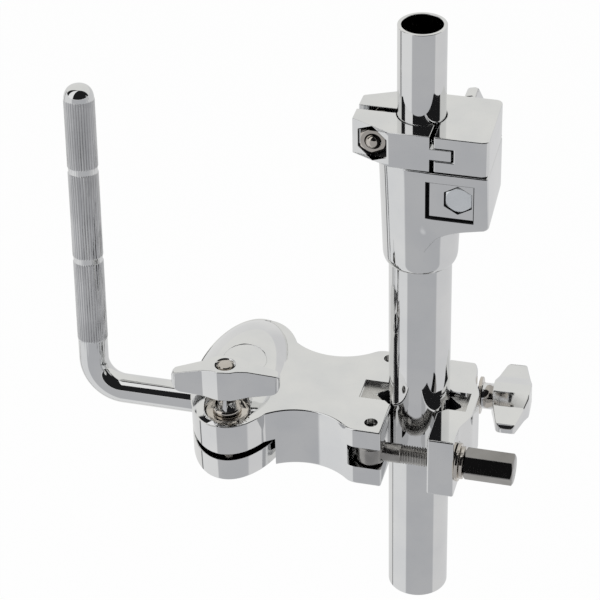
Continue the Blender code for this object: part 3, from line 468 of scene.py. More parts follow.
def hex_head(name, face, front, back):
    """A hexagon along Y, with the corners of its front turned down to a round face."""
    barrel = [(0, front), (face, front), (HEX_CORNER_R, front + 0.0006), (HEX_CORNER_R, back), (0, back)]
    head = plate(name, hexagon(HEX_FLATS, 30), front, back, "Y")
    return combine(head, lay(turned("barrel", barrel, 72), "Y"), "INTERSECT")


def flat_washer(name, hole, radius, thick=0.0014):
    return tube(name, hole, radius, 0, thick, 72)


def finish_node(node, material):
    """A CAD node that stays as it is gets its finish."""
    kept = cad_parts[node]
    kept.data.materials.clear()
    kept.data.materials.append(material)


zinc = plated("zinc_plate", ZINC_PALE, ZINC_DEEP, 0.32, 0.46, 0.15)
nickel = plated("nickel_plate", NICKEL_PALE, NICKEL_DEEP, 0.06, 0.14, 0.06)
nylon = moulded("black_nylon", NYLON_PALE, NYLON_DEEP)
finish_node("tube_bushing", nylon)
joint_insert = block(*INSERT)
joint_insert.name = "joint_insert"
recess_at = Matrix.Translation(JOINT_BOLT - Vector((0.0003, 0, 0.0002)))
recess = plate("cutter", hexagon(0.0110, 30), -0.02, -0.0137, "Y")
recess.data.transform(recess_at)
carve(joint_insert, recess, drill(BOLT_HOLE, -0.02, 0.0, "Y", JOINT_BOLT))
smooth(joint_insert)
fit(joint_insert, chrome, "base", "clamp_insert")
# A thin near-black hex sheet in the recess is painted shade round the bolt's head.
recess_shade_lining = plate("recess_shade_lining", hexagon(0.01098, 30), -0.0167, -0.01372, "Y")
carve(recess_shade_lining, plate("cutter", hexagon(0.0107, 30), -0.02, -0.0140, "Y"))
recess_shade_lining.data.transform(recess_at)
carve(recess_shade_lining, drill(LINING_HOLE, -0.02, 0.0, "Y", JOINT_BOLT))
add_lining(recess_shade_lining, "recess_shade_lining", shade_paint, "base")

joint_hex_bolt = hex_head("joint_hex_bolt", 0.0050, -0.0169, -0.0143)
shank = turned("shank", [(0, -0.0150), (SHANK_R, -0.0150), (SHANK_R, 0.0373), (0.0027, 0.0376), (0, 0.0376)], 40)
combine(joint_hex_bolt, lay(shank, "Y"), "UNION")
smooth(joint_hex_bolt, 25)
joint_hex_bolt.data.transform(Matrix.Translation(JOINT_BOLT))
fit(joint_hex_bolt, zinc, "base", "joint_bolt")
joint_back_washer = lay(flat_washer("joint_back_washer", BOLT_HOLE, 0.0075), "Y")
joint_back_washer.data.transform(Matrix.Translation(JOINT_BOLT + Vector((0, 0.0172, 0))))
fit(joint_back_washer, nickel, "base", "joint_washer")

# Wing nuts, first the one behind the joint
# Die-cast zinc, chromed: bow-tie wings with two flats on each side, a round stem, and a countersunk bore.
# The wings' upper edges fall towards the rounded tips, and the bolt's end lies just below the top.
WING_PLAN = [(0.0026, 0.0062), (0.0094, 0.0037)]
WING_TIP_HALF = 0.0024
WING_FOOT = 0.0044


def eased(outline, trim):
    """Cut the corners of a closed outline, so that its flats meet in narrow strips."""
    points = []
    for i, here in enumerate(outline):
        for there in (outline[i - 1], outline[(i + 1) % len(outline)]):
            step = Vector(there) - Vector(here)
            points.append(tuple(Vector(here) + step.normalized() * trim))
    return points


def wing_nut(name, span=0.0224, lift=0.0010, top=0.0188, stem=0.0058, bore=BOLT_HOLE, depth=0.03, foot=0.0):
    """A wing nut along +Z with its wings along X and the end of its stem at foot."""
    quarter = WING_PLAN + [(span - 0.0014, WING_TIP_HALF), (span, WING_TIP_HALF - 0.0012)]
    side = quarter + [(x, -y) for x, y in reversed(quarter)]
    nut = plate(name, eased(side + [(-x, -y) for x, y in side], 0.00025), WING_FOOT - 0.001, top + 0.001)
    edge = [(0.0050, WING_FOOT)]
    edge += arc((span - 0.0042, WING_FOOT + lift + 0.0042), 0.0042, -82, 0, 8)
    edge += arc((span - 0.0022, top - 0.0060), 0.0022, 0, 74, 6)
    edge += [(0.0050, top)]
    outline = edge + [(-x, z) for x, z in reversed(edge)]
    combine(nut, plate("outline", outline, -0.01, 0.01, "Y"), "INTERSECT")
    round_off(nut, 0.0005)
    inside = WING_FOOT + 0.003
    combine(nut, turned("stem", [(0, foot), (stem, foot), (stem, inside), (0, inside)], 64), "UNION")
    hole = [(0, -0.002), (bore, -0.002), (bore, depth), (0, depth)]
    if depth > top:
        hole = [(0, -0.002), (bore, -0.002), (bore, top - 0.0022), (0.0043, top - 0.0003), (0.0046, top),
                (0.0046, depth), (0, depth)]
    carve(nut, turned("bore", hole, 64))
    return smooth(nut)


def set_down(piece, axis, place, before=0.0, after=0.0):
    """Turn a piece on its own axis, lay it along an axis of the stand and put it in place."""
    piece.data.transform(Matrix.Rotation(math.radians(before), 4, "Z"))
    lay(piece, axis)
    piece.data.transform(Matrix.Rotation(math.radians(after), 4, "X"))
    piece.data.transform(Matrix.Translation(place))
    return piece


joint_nut = wing_nut("joint_lever_nut")
set_down(joint_nut, "Y", JOINT_BOLT + Vector((0, 0.0189, 0)), before=-103)
fit(joint_nut, chrome, "joint_wing_nut", "joint_wing_nut")

# Height tube
# The thinner tube that slides in the joint, of rolled and chromed steel. The memory lock grips it,
# and rests on the joint.
HEIGHT_OUTER = 0.009525
HEIGHT_INNER = 0.008025
HEIGHT_LOW = 0.0981
HEIGHT_TOP = 0.2728
height_tube = tube("height_tube", HEIGHT_INNER, HEIGHT_OUTER, HEIGHT_LOW, HEIGHT_TOP, 112)
fit(height_tube, chrome, "upper_tube", "upper_tube")

# Memory lock
# A chromed casting in two halves that clamps the height tube: the body, and a gate hinged on a steel pin.
# A nickel bolt with a square key head pulls the halves together against a captive hex nut, in an upright
# hexagon pocket. Thin near-black sheets in the pocket and under the body are painted shade.
STEEL_PALE = (0.50, 0.49, 0.47)
STEEL_DEEP = (0.30, 0.29, 0.28)
LOCK_BOLT = Vector((-0.0165, 0.0, 0.2264))
UNDERSIDE = ((0.0160, -0.0164, 0.21845), (0.0286, 0.0164, 0.21868))
POCKET_FLATS = 0.0125
POCKET_SKIN = 0.0002
BEFORE_GATE = [(-0.0040, -0.0189), (-0.0300, -0.0066), (-0.0300, -0.0300), (-0.0040, -0.0300)]
BOLT_CUT_BACK = -0.0110
BOLT_DOME = [(0, -0.0141), (0.0010, -0.0140), (0.0019, -0.0136), (0.0026, -0.0129), (0.0030, -0.0119),
             (0.0030, -0.0100), (0, -0.0100)]
steel = plated("plain_steel", STEEL_PALE, STEEL_DEEP, 0.18, 0.36, 0.12)
lock_half = splay(round_off(solid_copy("lock_half", "lock_body"), 0.0006))
fit(lock_half, chrome, "memory_lock", "lock_body")
# A thin near-black sheet under the body is painted shade where the lock sits on the joint.
lock_underside_shade = block(*UNDERSIDE)
add_lining(lock_underside_shade, "lock_underside_shade", shade_paint, "memory_lock")

lock_flap = round_off(solid_copy("lock_flap", "lock_gate"), 0.0003)
fit(lock_flap, chrome, "lock_gate", "lock_gate")
# A thin near-black hexagon sheet in the pocket is painted shade round the nut.
pocket_shade_lining = plate("pocket_shade_lining", hexagon(POCKET_FLATS, 30), -0.0180, -0.00932, "Y")
carve(pocket_shade_lining, plate("cutter", hexagon(POCKET_FLATS - 2 * POCKET_SKIN, 30), -0.03, -0.0070, "Y"))
pocket_shade_lining.data.transform(Matrix.Translation(LOCK_BOLT))
carve(pocket_shade_lining, plate("cutter", BEFORE_GATE, 0.21, 0.24))
add_lining(pocket_shade_lining, "pocket_shade_lining", shade_paint, "lock_gate")

lock_hex = hex_head("lock_hex", 0.0049, -0.0119, -0.0088)
carve(lock_hex, drill(0.0034, -0.02, 0.0, "Y"))
smooth(lock_hex, 25)
lock_hex.data.transform(Matrix.Translation(LOCK_BOLT))
fit(lock_hex, nickel, "lock_gate", "lock_nut")
lock_key_bolt = solid_copy("lock_key_bolt", "lock_bolt")
for vert in lock_key_bolt.data.vertices:
    vert.co.y = max(vert.co.y, BOLT_CUT_BACK)
round_off(lock_key_bolt, 0.0004)
dome = lay(turned("dome", BOLT_DOME, 48), "Y")
dome.data.transform(Matrix.Translation(LOCK_BOLT))
combine(lock_key_bolt, dome, "UNION")
smooth(lock_key_bolt)
fit(lock_key_bolt, nickel, "lock_bolt", "lock_bolt")
finish_node("lock_hinge_pin", steel)

# Clamp arm
# A polished and chromed casting like a dog's bone: a V that grips the stand tube, a waist, and an oval
# head with a crowned top that is the upper half of the ball socket. The floor of the square pocket isn't
# polished, and the faces of the V are dull and near black, as painted shade.
ARM_LOW = 0.0707
ARM_TOP = 0.0987
ARM_HALF = 0.0286
ARM_END = -0.0100
WAIST_X = -0.0425
WAIST_HALF = 0.0203
WAIST_R = 0.0260
SHOULDER_R = 0.0080
VEE = 0.01838
VEE_HALF = 0.0113
ARM_POCKET = -0.0243
POCKET_HALF = 0.0063
ARM_FLOOR = [(-0.0242, -0.0062), (-0.0124, -0.0062), (-0.0186, 0.0), (-0.0124, 0.0062), (-0.0242, 0.0062)]
HEAD_X = -0.0750
HEAD_HALF_X = 0.0210
HEAD_HALF_Y = 0.0393
CROWN = 0.0080
CROWN_HALF_X = HEAD_HALF_X - 0.00305
CROWN_HALF_Y = HEAD_HALF_Y - 0.0006
CROWN_X = HEAD_X - HEAD_HALF_X + 0.0006 + CROWN_HALF_X
SLIT_TOP = 0.0844
CLAMP_ROUND = 0.0009
PINS = {-1: Vector((-0.0154, -0.0222, 0.0)), 1: Vector((-0.0175, 0.0232, 0.0))}
PIN_HOLE = 0.0028
CLAMP_MID = 0.0847
EYE_SLOT_HALF = 0.0051
SOCKET_BOLTS = {-1: Vector((HEAD_X, -0.028, 0)), 1: Vector((HEAD_X, 0.028, 0))}
BALL = Vector((HEAD_X, 0.0, 0.0812))
SEAT_R = 0.0108
MOUTH_HALF = 0.00695
ROD_SWING = math.radians(12)
SATIN_PALE = (0.66, 0.65, 0.63)
SATIN_DEEP = (0.58, 0.57, 0.55)


def arm_outline():
    """Half of the arm from its end face over the shoulder to the waist, its mirror image, and the V."""
    waist = Vector((WAIST_X, WAIST_HALF + WAIST_R))
    rise = waist.y - (ARM_HALF - SHOULDER_R)
    shoulder = Vector((waist.x + half_chord(WAIST_R + SHOULDER_R, rise), waist.y - rise))
    lean = math.degrees(math.atan2(rise, shoulder.x - waist.x))
    last = math.degrees(math.asin((HEAD_X + HEAD_HALF_X * 2 / 3 - waist.x) / WAIST_R))
    half = [(ARM_END, ARM_HALF)] + arc(shoulder, SHOULDER_R, 90, 180 - lean, 16)
    half += arc(waist, WAIST_R, -lean, -90 + last, 32)[1:]
    vee = [(ARM_END, -VEE - ARM_END), (-VEE, 0.0), (ARM_END, ARM_END + VEE)]
    return half + [(x, -y) for x, y in reversed(half)] + vee


def oval(centre, half_x, half_y, z, steps=112):
    turns = [math.tau * i / steps for i in range(steps)]
    return [(centre + half_x * math.cos(t), half_y * math.sin(t), z) for t in turns]


def rounded_oval(low, high, low_round, high_round):
    """Rings of the socket's oval between two heights, with both edges eased."""
    levels = [(low, low_round), (low + 0.3 * low_round, 0.3 * low_round), (low + low_round, 0.0),
              (high - high_round, 0.0), (high - 0.3 * high_round, 0.3 * high_round), (high, high_round)]
    return [oval(HEAD_X, HEAD_HALF_X - inset, HEAD_HALF_Y - inset, z) for z, inset in levels]


def crown_height(share):
    """Height of the crown at a share of the way from its middle to its rim."""
    return ARM_TOP + CROWN * (1 - share ** 3)


def socket_cutters():
    """Ball seat, and the mouth that lets the rod swing."""
    turns = [math.pi * i / 24 for i in range(25)]
    seat = turned("cutter", [(SEAT_R * abs(math.sin(t)) if 0 < i < 24 else 0.0, -SEAT_R * math.cos(t))
                             for i, t in enumerate(turns)], 48)
    seat.data.transform(Matrix.Translation(BALL))
    reach = HEAD_HALF_X + 0.002
    wide = MOUTH_HALF / math.cos(ROD_SWING) + reach * math.tan(ROD_SWING)
    mouth = plate("cutter", [(HEAD_X + 0.002, -MOUTH_HALF), (HEAD_X - reach, -wide), (HEAD_X - reach, wide),
                             (HEAD_X + 0.002, MOUTH_HALF)], BALL.z - MOUTH_HALF, BALL.z + MOUTH_HALF)
    return seat, mouth


def shade_vee_faces(piece, facing):
    """Paint the faces of the V dull and near black, as painted shade."""
    piece.data.materials.append(shade_paint)
    for face in piece.data.polygons:
        if facing * face.normal.x > 0.6 and abs(face.normal.y) > 0.6 and abs(face.center.y) < VEE_HALF:
            face.material_index = 1


arm = plate("bone_arm", arm_outline(), ARM_LOW, ARM_TOP)
round_off(arm, CLAMP_ROUND, angle=40)
carve(arm, block((-0.1, -0.05, 0.06), (-0.0560, 0.05, SLIT_TOP)))
head_rings = rounded_oval(SLIT_TOP, ARM_TOP, 0.0005, 0.0004)
crown_levels = [(1.022, ARM_TOP), (1.009, ARM_TOP - 0.0005)]
crown_levels += [(1.0 - i / 24.5, crown_height(1.0 - i / 24.5)) for i in range(25)]
for share, z in crown_levels:
    head_rings.append(oval(CROWN_X, CROWN_HALF_X * share, CROWN_HALF_Y * share, z))
combine(arm, lofted("head", head_rings), "UNION")
engraving = turned("cutter", [(0.0090, -0.0003), (0.0092, -0.0003), (0.0093, 0.0005), (0.0089, 0.0005)], 128)
for vert in engraving.data.vertices:
    vert.co.x += HEAD_X
    vert.co.z += crown_height(math.hypot((vert.co.x - CROWN_X) / CROWN_HALF_X, vert.co.y / CROWN_HALF_Y))
carve(arm, engraving, block((ARM_POCKET, -POCKET_HALF, ARM_TOP - 0.0022), (0.0, POCKET_HALF, 0.12)))
for side, pin in PINS.items():
    inner, outer = sorted((pin.y - side * 0.0068, side * 0.032))
    carve(arm, block((ARM_POCKET, inner, CLAMP_MID - EYE_SLOT_HALF), (0.0, outer, CLAMP_MID + EYE_SLOT_HALF)),
          drill(PIN_HOLE, 0.06, 0.12, at=pin, steps=40))
carve(arm, *socket_cutters())
carve(arm, drill(BOLT_HOLE, 0.08, 0.12, at=SOCKET_BOLTS[-1], steps=40),
      drill(0.0096, 0.0980, 0.12, at=SOCKET_BOLTS[-1], steps=64),
      drill(BOLT_HOLE, 0.08, 0.0937, at=SOCKET_BOLTS[1], steps=32))
smooth(arm)
fit(arm, chrome, "clamp", "clamp_arm")
# The arm's V faces get the near-black painted shade.
shade_vee_faces(arm, 1)
satin = plated("satin_casting", SATIN_PALE, SATIN_DEEP, 0.36, 0.48, 0.2)
arm_floor = plate("arm_floor", ARM_FLOOR, ARM_TOP - 0.00218, ARM_TOP - 0.00208)
add_lining(arm_floor, "arm_floor", satin, "clamp")

# Outer jaw
# The chromed outer half of the V-clamp. Its front hole is closed and its rear slot is open, so the rear
# eyebolt swings out and the clamp comes off the tube. Tightened, that eyebolt leans back a little.
JAW_INNER = 0.0093
JAW_REAR_INNER = 0.0072
JAW_FACE = 0.0205
JAW_BULGE = 0.0036
JAW_REAR_R = 0.016
JAW_REAR_Y = 0.0205
JAW_SLOT = 0.0046
JAW_SPOT_R = 0.0086
JAW_FLOOR = [(0.0124, -0.0062), (0.0208, -0.0062), (0.0208, 0.0062), (0.0124, 0.0062), (0.0186, 0.0)]
REAR_TURN = Matrix.Rotation(math.radians(2.3), 4, "Z")
REAR_LEAN = Matrix.Translation(PINS[1]) @ REAR_TURN @ Matrix.Translation(-PINS[1])


def jaw_outline():
    """The jaw from above: flat ends, a bulged middle, a rear end that curves back, and the V."""
    bulge = []
    for i in range(25):
        t = i / 24
        bulge.append((JAW_FACE + JAW_BULGE * (1 - math.cos(math.pi * t)) / 2, -0.006 - 0.013 * (1 - t)))
    outline = [(JAW_INNER, -ARM_HALF), (JAW_FACE, -ARM_HALF)] + bulge + [(x, -y) for x, y in reversed(bulge)]
    last = math.degrees(math.asin((ARM_HALF - JAW_REAR_Y) / JAW_REAR_R))
    outline += arc((JAW_FACE - JAW_REAR_R, JAW_REAR_Y), JAW_REAR_R, 0, last, 7)
    outline += [(JAW_REAR_INNER, ARM_HALF), (JAW_REAR_INNER, VEE - JAW_REAR_INNER)]
    return outline + [(VEE, 0.0), (JAW_INNER, JAW_INNER - VEE)]


outer_half = plate("outer_half", jaw_outline(), ARM_LOW, ARM_TOP)
round_off(outer_half, CLAMP_ROUND, angle=40)
carve(outer_half, block((0.0073, -POCKET_HALF, ARM_TOP - 0.0028), (0.0209, POCKET_HALF, 0.12)),
      block((0.0052, PINS[1].y, CLAMP_MID - JAW_SLOT), (0.0261, 0.0306, CLAMP_MID + JAW_SLOT)))
for side, pin in PINS.items():
    spot_face = drill(JAW_SPOT_R, JAW_FACE + 0.00002, 0.0261, "X", (0, pin.y, CLAMP_MID), 64)
    if side > 0:
        spot_face.data.transform(REAR_LEAN)
    carve(outer_half, drill(JAW_SLOT, 0.0052, 0.0261, "X", (0, pin.y, CLAMP_MID)), spot_face)
smooth(outer_half)
fit(outer_half, chrome, "jaw", "outer_jaw")
# The jaw's V faces get the near-black painted shade.
shade_vee_faces(outer_half, -1)
jaw_floor = plate("jaw_floor", JAW_FLOOR, ARM_TOP - 0.00278, ARM_TOP - 0.00268)
add_lining(jaw_floor, "jaw_floor", satin, "jaw")

# Eyebolts and their pins
# Forged steel, oiled and dark: a flat eye that turns on an upright pin, and a threaded shank.
EYE_R = 0.0062
EYE_HALF = 0.0042
THREAD_R = 0.0040
THREAD_DEPTH = 0.0006
THREAD_PITCH = 0.0011


def threaded(name, radius, depth, low, high, steps=40):
    """A rod along +Z with a rolled thread."""
    count = round((high - low) / THREAD_PITCH * 6)
    rings = []
    for row in range(count + 1):
        z = low + (high - low) * row / count
        ring = []
        for i in range(steps):
            t = i / steps
            wave = 0.5 - 0.5 * math.cos(math.tau * (z / THREAD_PITCH - t))
            r = radius - depth * wave
            ring.append((r * math.cos(math.tau * t), r * math.sin(math.tau * t), z))
        rings.append(ring)
    return lofted(name, rings)


def eyebolt(name, side, end):
    """An eye on one of the pins, with a threaded shank that stops at end."""
    pin = PINS[side] + Vector((0, 0, CLAMP_MID))
    bolt = turned(name, [(0, -EYE_HALF), (EYE_R, -EYE_HALF), (EYE_R, EYE_HALF), (0, EYE_HALF)], 64)
    round_off(bolt, 0.0012)
    neck = turned("neck", [(0, 0.0035), (THREAD_R, 0.0035), (THREAD_R, 0.0125), (0.0036, 0.0132), (0, 0.0132)], 40)
    combine(bolt, lay(neck, "X"), "UNION")
    combine(bolt, lay(threaded("thread", THREAD_R, THREAD_DEPTH, 0.0128, end - pin.x), "X"), "UNION")
    carve(bolt, drill(PIN_HOLE, -0.01, 0.01, steps=32))
    smooth(bolt, 50)
    bolt.data.transform(Matrix.Translation(pin))
    return bolt


front_eye = eyebolt("front_eye", -1, 0.0407)
fit(front_eye, steel, "clamp", "front_eyebolt")
rear_eye = eyebolt("rear_eye", 1, 0.0390)
rear_eye.data.transform(REAR_LEAN)
fit(rear_eye, steel, "rear_eyebolt", "rear_eyebolt")
finish_node("front_eyebolt_pin", steel)
finish_node("rear_eyebolt_pin", steel)

# Washers and nuts of the V-clamp
# Nickel washers on both eyebolts, a split lock washer and a long nickelled hex nut in front,
# and a chromed wing nut behind.
BRIGHT_PALE = (0.34, 0.33, 0.32)
BRIGHT_DEEP = (0.28, 0.27, 0.26)
CLAMP_BORE = 0.0043
HEX_LENGTH = 0.0204
NUT_CORNER_R = 0.0070
NUT_FACE_R = 0.0056
bright_steel = plated("bright_steel", BRIGHT_PALE, BRIGHT_DEEP, 0.05, 0.12, 0.06)
for side, name, body in ((-1, "front", "jaw"), (1, "rear", "rear_washer")):
    clamp_washer = flat_washer(name + "_flat_washer", CLAMP_BORE, 0.0080)
    set_down(clamp_washer, "X", (0.0208, PINS[side].y, CLAMP_MID))
    if side > 0:
        clamp_washer.data.transform(REAR_LEAN)
    fit(clamp_washer, nickel, body, name + "_washer")
split_washer = turned("split_washer", [(CLAMP_BORE, 0), (0.0068, 0), (0.0068, 0.0014), (CLAMP_BORE, 0.0014)], 64)
slit = block((0.0035, -0.0004, -0.001), (0.008, 0.0004, 0.003))
slit.data.transform(Matrix.Rotation(math.radians(25), 4, "X"))
carve(split_washer, slit)
round_off(split_washer, 0.00025)
set_down(split_washer, "X", (0.0225, PINS[-1].y, CLAMP_MID), before=70)
fit(split_washer, nickel, "jaw", "front_lock_washer")

hex_sleeve = plate("hex_sleeve", eased(hexagon(0.0118), 0.0003), 0.0, HEX_LENGTH, "X")
barrel = turned("barrel", [(0, 0), (NUT_FACE_R, 0), (NUT_CORNER_R, 0.0008), (NUT_CORNER_R, HEX_LENGTH - 0.0008),
                           (NUT_FACE_R, HEX_LENGTH), (0, HEX_LENGTH)], 96)
combine(hex_sleeve, lay(barrel, "X"), "INTERSECT")
carve(hex_sleeve, drill(CLAMP_BORE, -0.002, 0.0168, "X"))
smooth(hex_sleeve, 32)
hex_sleeve.data.transform(Matrix.Translation((0.0242, PINS[-1].y, CLAMP_MID)))
fit(hex_sleeve, bright_steel, "long_hex_nut", "long_hex_nut")

rear_nut = wing_nut("rear_lever_nut", 0.0204, 0.0031, 0.0202, 0.0056, CLAMP_BORE, 0.0168)
set_down(rear_nut, "X", (0.0225, PINS[1].y, CLAMP_MID), after=-84)
rear_nut.data.transform(REAR_LEAN)
fit(rear_nut, chrome, "rear_wing_nut", "rear_wing_nut")

# Lower socket jaw
# The chromed lower half of the ball socket, cast and polished like the arm above it.
# The two bolts pull it up against the ball.
JAW_LOW = 0.0713
JAW_TOP = 0.0816
lower_half = lofted("lower_half", rounded_oval(JAW_LOW, JAW_TOP, 0.0006, 0.0004))
carve(lower_half, block((-0.0563, -0.05, 0.06), (0.0, 0.05, 0.09)), *socket_cutters())
carve(lower_half, drill(0.0050, 0.06, BALL.z, at=(HEAD_X, 0, 0), steps=44))
for bolt_at in SOCKET_BOLTS.values():
    carve(lower_half, drill(BOLT_HOLE, 0.06, 0.09, at=bolt_at, steps=40),
          drill(0.00605, 0.06, 0.0759, at=bolt_at, steps=48))
smooth(lower_half)
fit(lower_half, chrome, "clamp", "socket_jaw")

# Socket bolts, washer, collar and wing nut
# A nickelled bolt from below carries a washer, a turned collar and the chromed wing nut.
# The rear screw stays set.
socket_stud = turned("socket_stud", [(0, 0.0716), (0.0054, 0.0716), (0.00575, 0.0720), (0.00575, 0.0756),
                                     (SHANK_R, 0.0756), (SHANK_R, 0.1223), (0.0027, 0.1226), (0, 0.1226)], 56)
socket_flat_washer = flat_washer("socket_flat_washer", BOLT_HOLE, 0.0087)
socket_flat_washer.data.transform(Matrix.Translation((0, 0, 0.0983)))
socket_turned_collar = turned("socket_turned_collar", [(BOLT_HOLE, 0.1), (0.0060, 0.1), (0.0060, 0.1011),
                                                       (0.0053, 0.1021), (BOLT_HOLE, 0.1021)], 72)
round_off(socket_turned_collar, 0.0003)
for piece, node in ((smooth(socket_stud, 30), "socket_bolt"), (socket_flat_washer, "socket_washer"),
                    (socket_turned_collar, "socket_collar")):
    piece.data.transform(Matrix.Translation(SOCKET_BOLTS[-1]))
    fit(piece, nickel, "clamp", node)
finish_node("socket_rear_screw", steel)
socket_nut = wing_nut("socket_lever_nut", foot=-0.0015)
set_down(socket_nut, "Z", SOCKET_BOLTS[-1] + Vector((0, 0, 0.1039)), before=9)
fit(socket_nut, chrome, "socket_wing_nut", "socket_wing_nut")

# Ball and L-rod
# A black nylon ball grips the bent rod of bright chromed steel. The rod's tall leg is rolled with
# straight flutes, where the chrome is duller, broken by two plain grooves. Its tip is domed and smooth.
ROD_R = 0.0063
ROD_CREST = 0.00645
FLUTES = 36
FLUTE_DEPTH = 0.0004
FLUTE_PROFILE = (0.0, 0.0, 0.0, 0.4, 1.0, 0.4)
ROD_CORNER = 0.0681
ROD_RISE = 0.1386
ROD_DOME = 0.0060
BEND_RADIUS = 0.0138
BEND = math.radians(88.3)
ROD_START = 0.0077
ROD_TURN = math.radians(-8)
FLUTES_FROM = 0.0233
FLUTES_TO = 0.1322
GROOVES = ((0.0596, 0.0618), (0.1002, 0.1024))
ROLLED_PALE = (0.68, 0.68, 0.685)
ROLLED_DEEP = (0.58, 0.58, 0.585)


def rod_ring(point, angle, radius, flute):
    """Outline of the rod at a point of its middle line, with its flutes or without."""
    across = Vector((math.sin(angle), 0, math.cos(angle)))
    ring = []
    for i in range(FLUTES * 6):
        t = math.tau * i / (FLUTES * 6)
        r = radius - flute * FLUTE_DEPTH * FLUTE_PROFILE[i % 6]
        ring.append(Vector((point[0], 0, point[1])) + across * r * math.cos(t) + Vector((0, 1, 0)) * r * math.sin(t))
    return ring


setback = BEND_RADIUS * math.tan(BEND / 2)
rod_rings = [rod_ring((ROD_START, 0.0), 0.0, ROD_R - 0.0003, 0), rod_ring((ROD_START - 0.0003, 0.0), 0.0, ROD_R, 0)]
for i in range(25):
    angle = BEND * i / 24
    rod_rings.append(rod_ring((-ROD_CORNER + setback - BEND_RADIUS * math.sin(angle),
                               BEND_RADIUS * (1 - math.cos(angle))), angle, ROD_R, 0))
rolled_rows = [0] * len(rod_rings)
leg = [(FLUTES_FROM - 0.0007, ROD_R, 0), (FLUTES_FROM, ROD_CREST, 1)]
for low, high in GROOVES:
    leg += [(low - 0.0003, ROD_CREST, 1), (low, ROD_R - 0.0001, 0), (high, ROD_R - 0.0001, 0),
            (high + 0.0003, ROD_CREST, 1)]
leg += [(FLUTES_TO, ROD_CREST, 1), (FLUTES_TO + 0.0003, ROD_R, 0)]
for i in range(12):
    tilt = math.radians(90 * i / 12)
    leg.append((ROD_RISE - ROD_DOME + ROD_DOME * math.sin(tilt), ROD_R * math.cos(tilt) ** 0.75, 0))
leg.append((ROD_RISE, 0.0003, 0))
for rise, radius, flute in leg:
    point = (-ROD_CORNER - math.cos(BEND) * rise, math.sin(BEND) * rise)
    rod_rings.append(rod_ring(point, BEND, radius, flute))
    rolled_rows.append(flute)
knurled_rod = lofted("knurled_rod", rod_rings)
knurled_rod.data.transform(Matrix.Translation(BALL) @ Matrix.Rotation(ROD_TURN, 4, "X"))
select_only(knurled_rod)
bpy.ops.object.shade_smooth_by_angle(angle=math.radians(35))
fit(knurled_rod, chrome, "l_rod", "l_rod")
knurled_rod.data.materials.append(plated("rolled_chrome", ROLLED_PALE, ROLLED_DEEP, 0.07, 0.14, 0.05))
for face in knurled_rod.data.polygons:
    row = face.index // (FLUTES * 6)
    if row + 1 < len(rolled_rows) and rolled_rows[row] and rolled_rows[row + 1]:
        face.material_index = 1
finish_node("socket_ball", nylon)

# Studio
# A white floor and background, a soft lamp, and a surround of pale, grey and black cards that only
# shows in the chrome, as in a product photographer's light tent. A pale box hangs high on the left.
CAMERA_TURN = math.radians(15.44)
CAMERA_RISE = math.radians(34.5)
CAMERA_ROLL = math.radians(1.46)
CAMERA_AIM = Vector((0, 0, 0.14713))
CAMERA_ASIDE = 0.04857
CAMERA_BACK = 0.9707
SIDE_CARD = (0.77, 0.775, 0.78)
FRONT_CARD = (0.485, 0.49, 0.505)
FAR_CARD = (0.79, 0.79, 0.77)
DIM_CARD = (0.76, 0.76, 0.755)
BLACK_CARD = (0.015, 0.015, 0.016)
LEFT_BOX = (-87, -46)
LEFT_BOX_GLOW = 0.9
BLACK_FADE = (0.49, 0.515)
EDGE_RISE = (0.600, 0.602)
DARK_RISE = (0.609, 0.611)
LAMP_AT = (-0.5, -0.6, 1.4)
LAMP_AIM = Vector((0, 0, 0.1))
NONE = (0.0, 0.0, 0.0)
ALL = (1.0, 1.0, 1.0)
SLIT_CARD = (0.10, 0.10, 0.105)
RIGHT_CARD = (0.69, 0.69, 0.695)
LOW_CARDS = [(-180, DIM_CARD), (-125, DIM_CARD), (-122.5, SLIT_CARD), (-120.5, SLIT_CARD), (-118, SIDE_CARD),
             (-53, SIDE_CARD), (-49, FRONT_CARD), (56, FRONT_CARD), (60, RIGHT_CARD), (156, RIGHT_CARD),
             (168, DIM_CARD), (180, DIM_CARD)]


def math_node(tree, operation, first, second):
    """A calculation with two values, each a number or another node's output."""
    node = add_node(tree, "Math")
    node.operation = operation
    for socket, value in zip(node.inputs, (first, second)):
        if isinstance(value, float):
            socket.default_value = value
        else:
            tree.links.new(value, socket)
    return node.outputs[0]


def along(tree, vector, axis):
    """How far a vector reaches along an axis."""
    node = add_node(tree, "VectorMath")
    node.operation = "DOT_PRODUCT"
    tree.links.new(vector, node.inputs[0])
    node.inputs[1].default_value = axis
    return node.outputs["Value"]


def mixed(tree, share, first, second):
    """A mix of two colours, each a grey value or another node's output."""
    node = add_node(tree, "Mix")
    node.data_type = "RGBA"
    for name, value in (("Factor_Float", share), ("A_Color", first), ("B_Color", second)):
        socket = next(s for s in node.inputs if s.identifier == name)
        if isinstance(value, float):
            socket.default_value = (value, value, value, 1.0)
        else:
            tree.links.new(value, socket)
    return next(s for s in node.outputs if s.identifier == "Result_Color")


def seen_share(tree):
    """One for camera, glossy and transmission rays, and zero for light on the object."""
    rays = add_node(tree, "LightPath").outputs
    seen = math_node(tree, "MAXIMUM", rays["Is Camera Ray"], rays["Is Glossy Ray"])
    return math_node(tree, "MAXIMUM", seen, rays["Is Transmission Ray"])


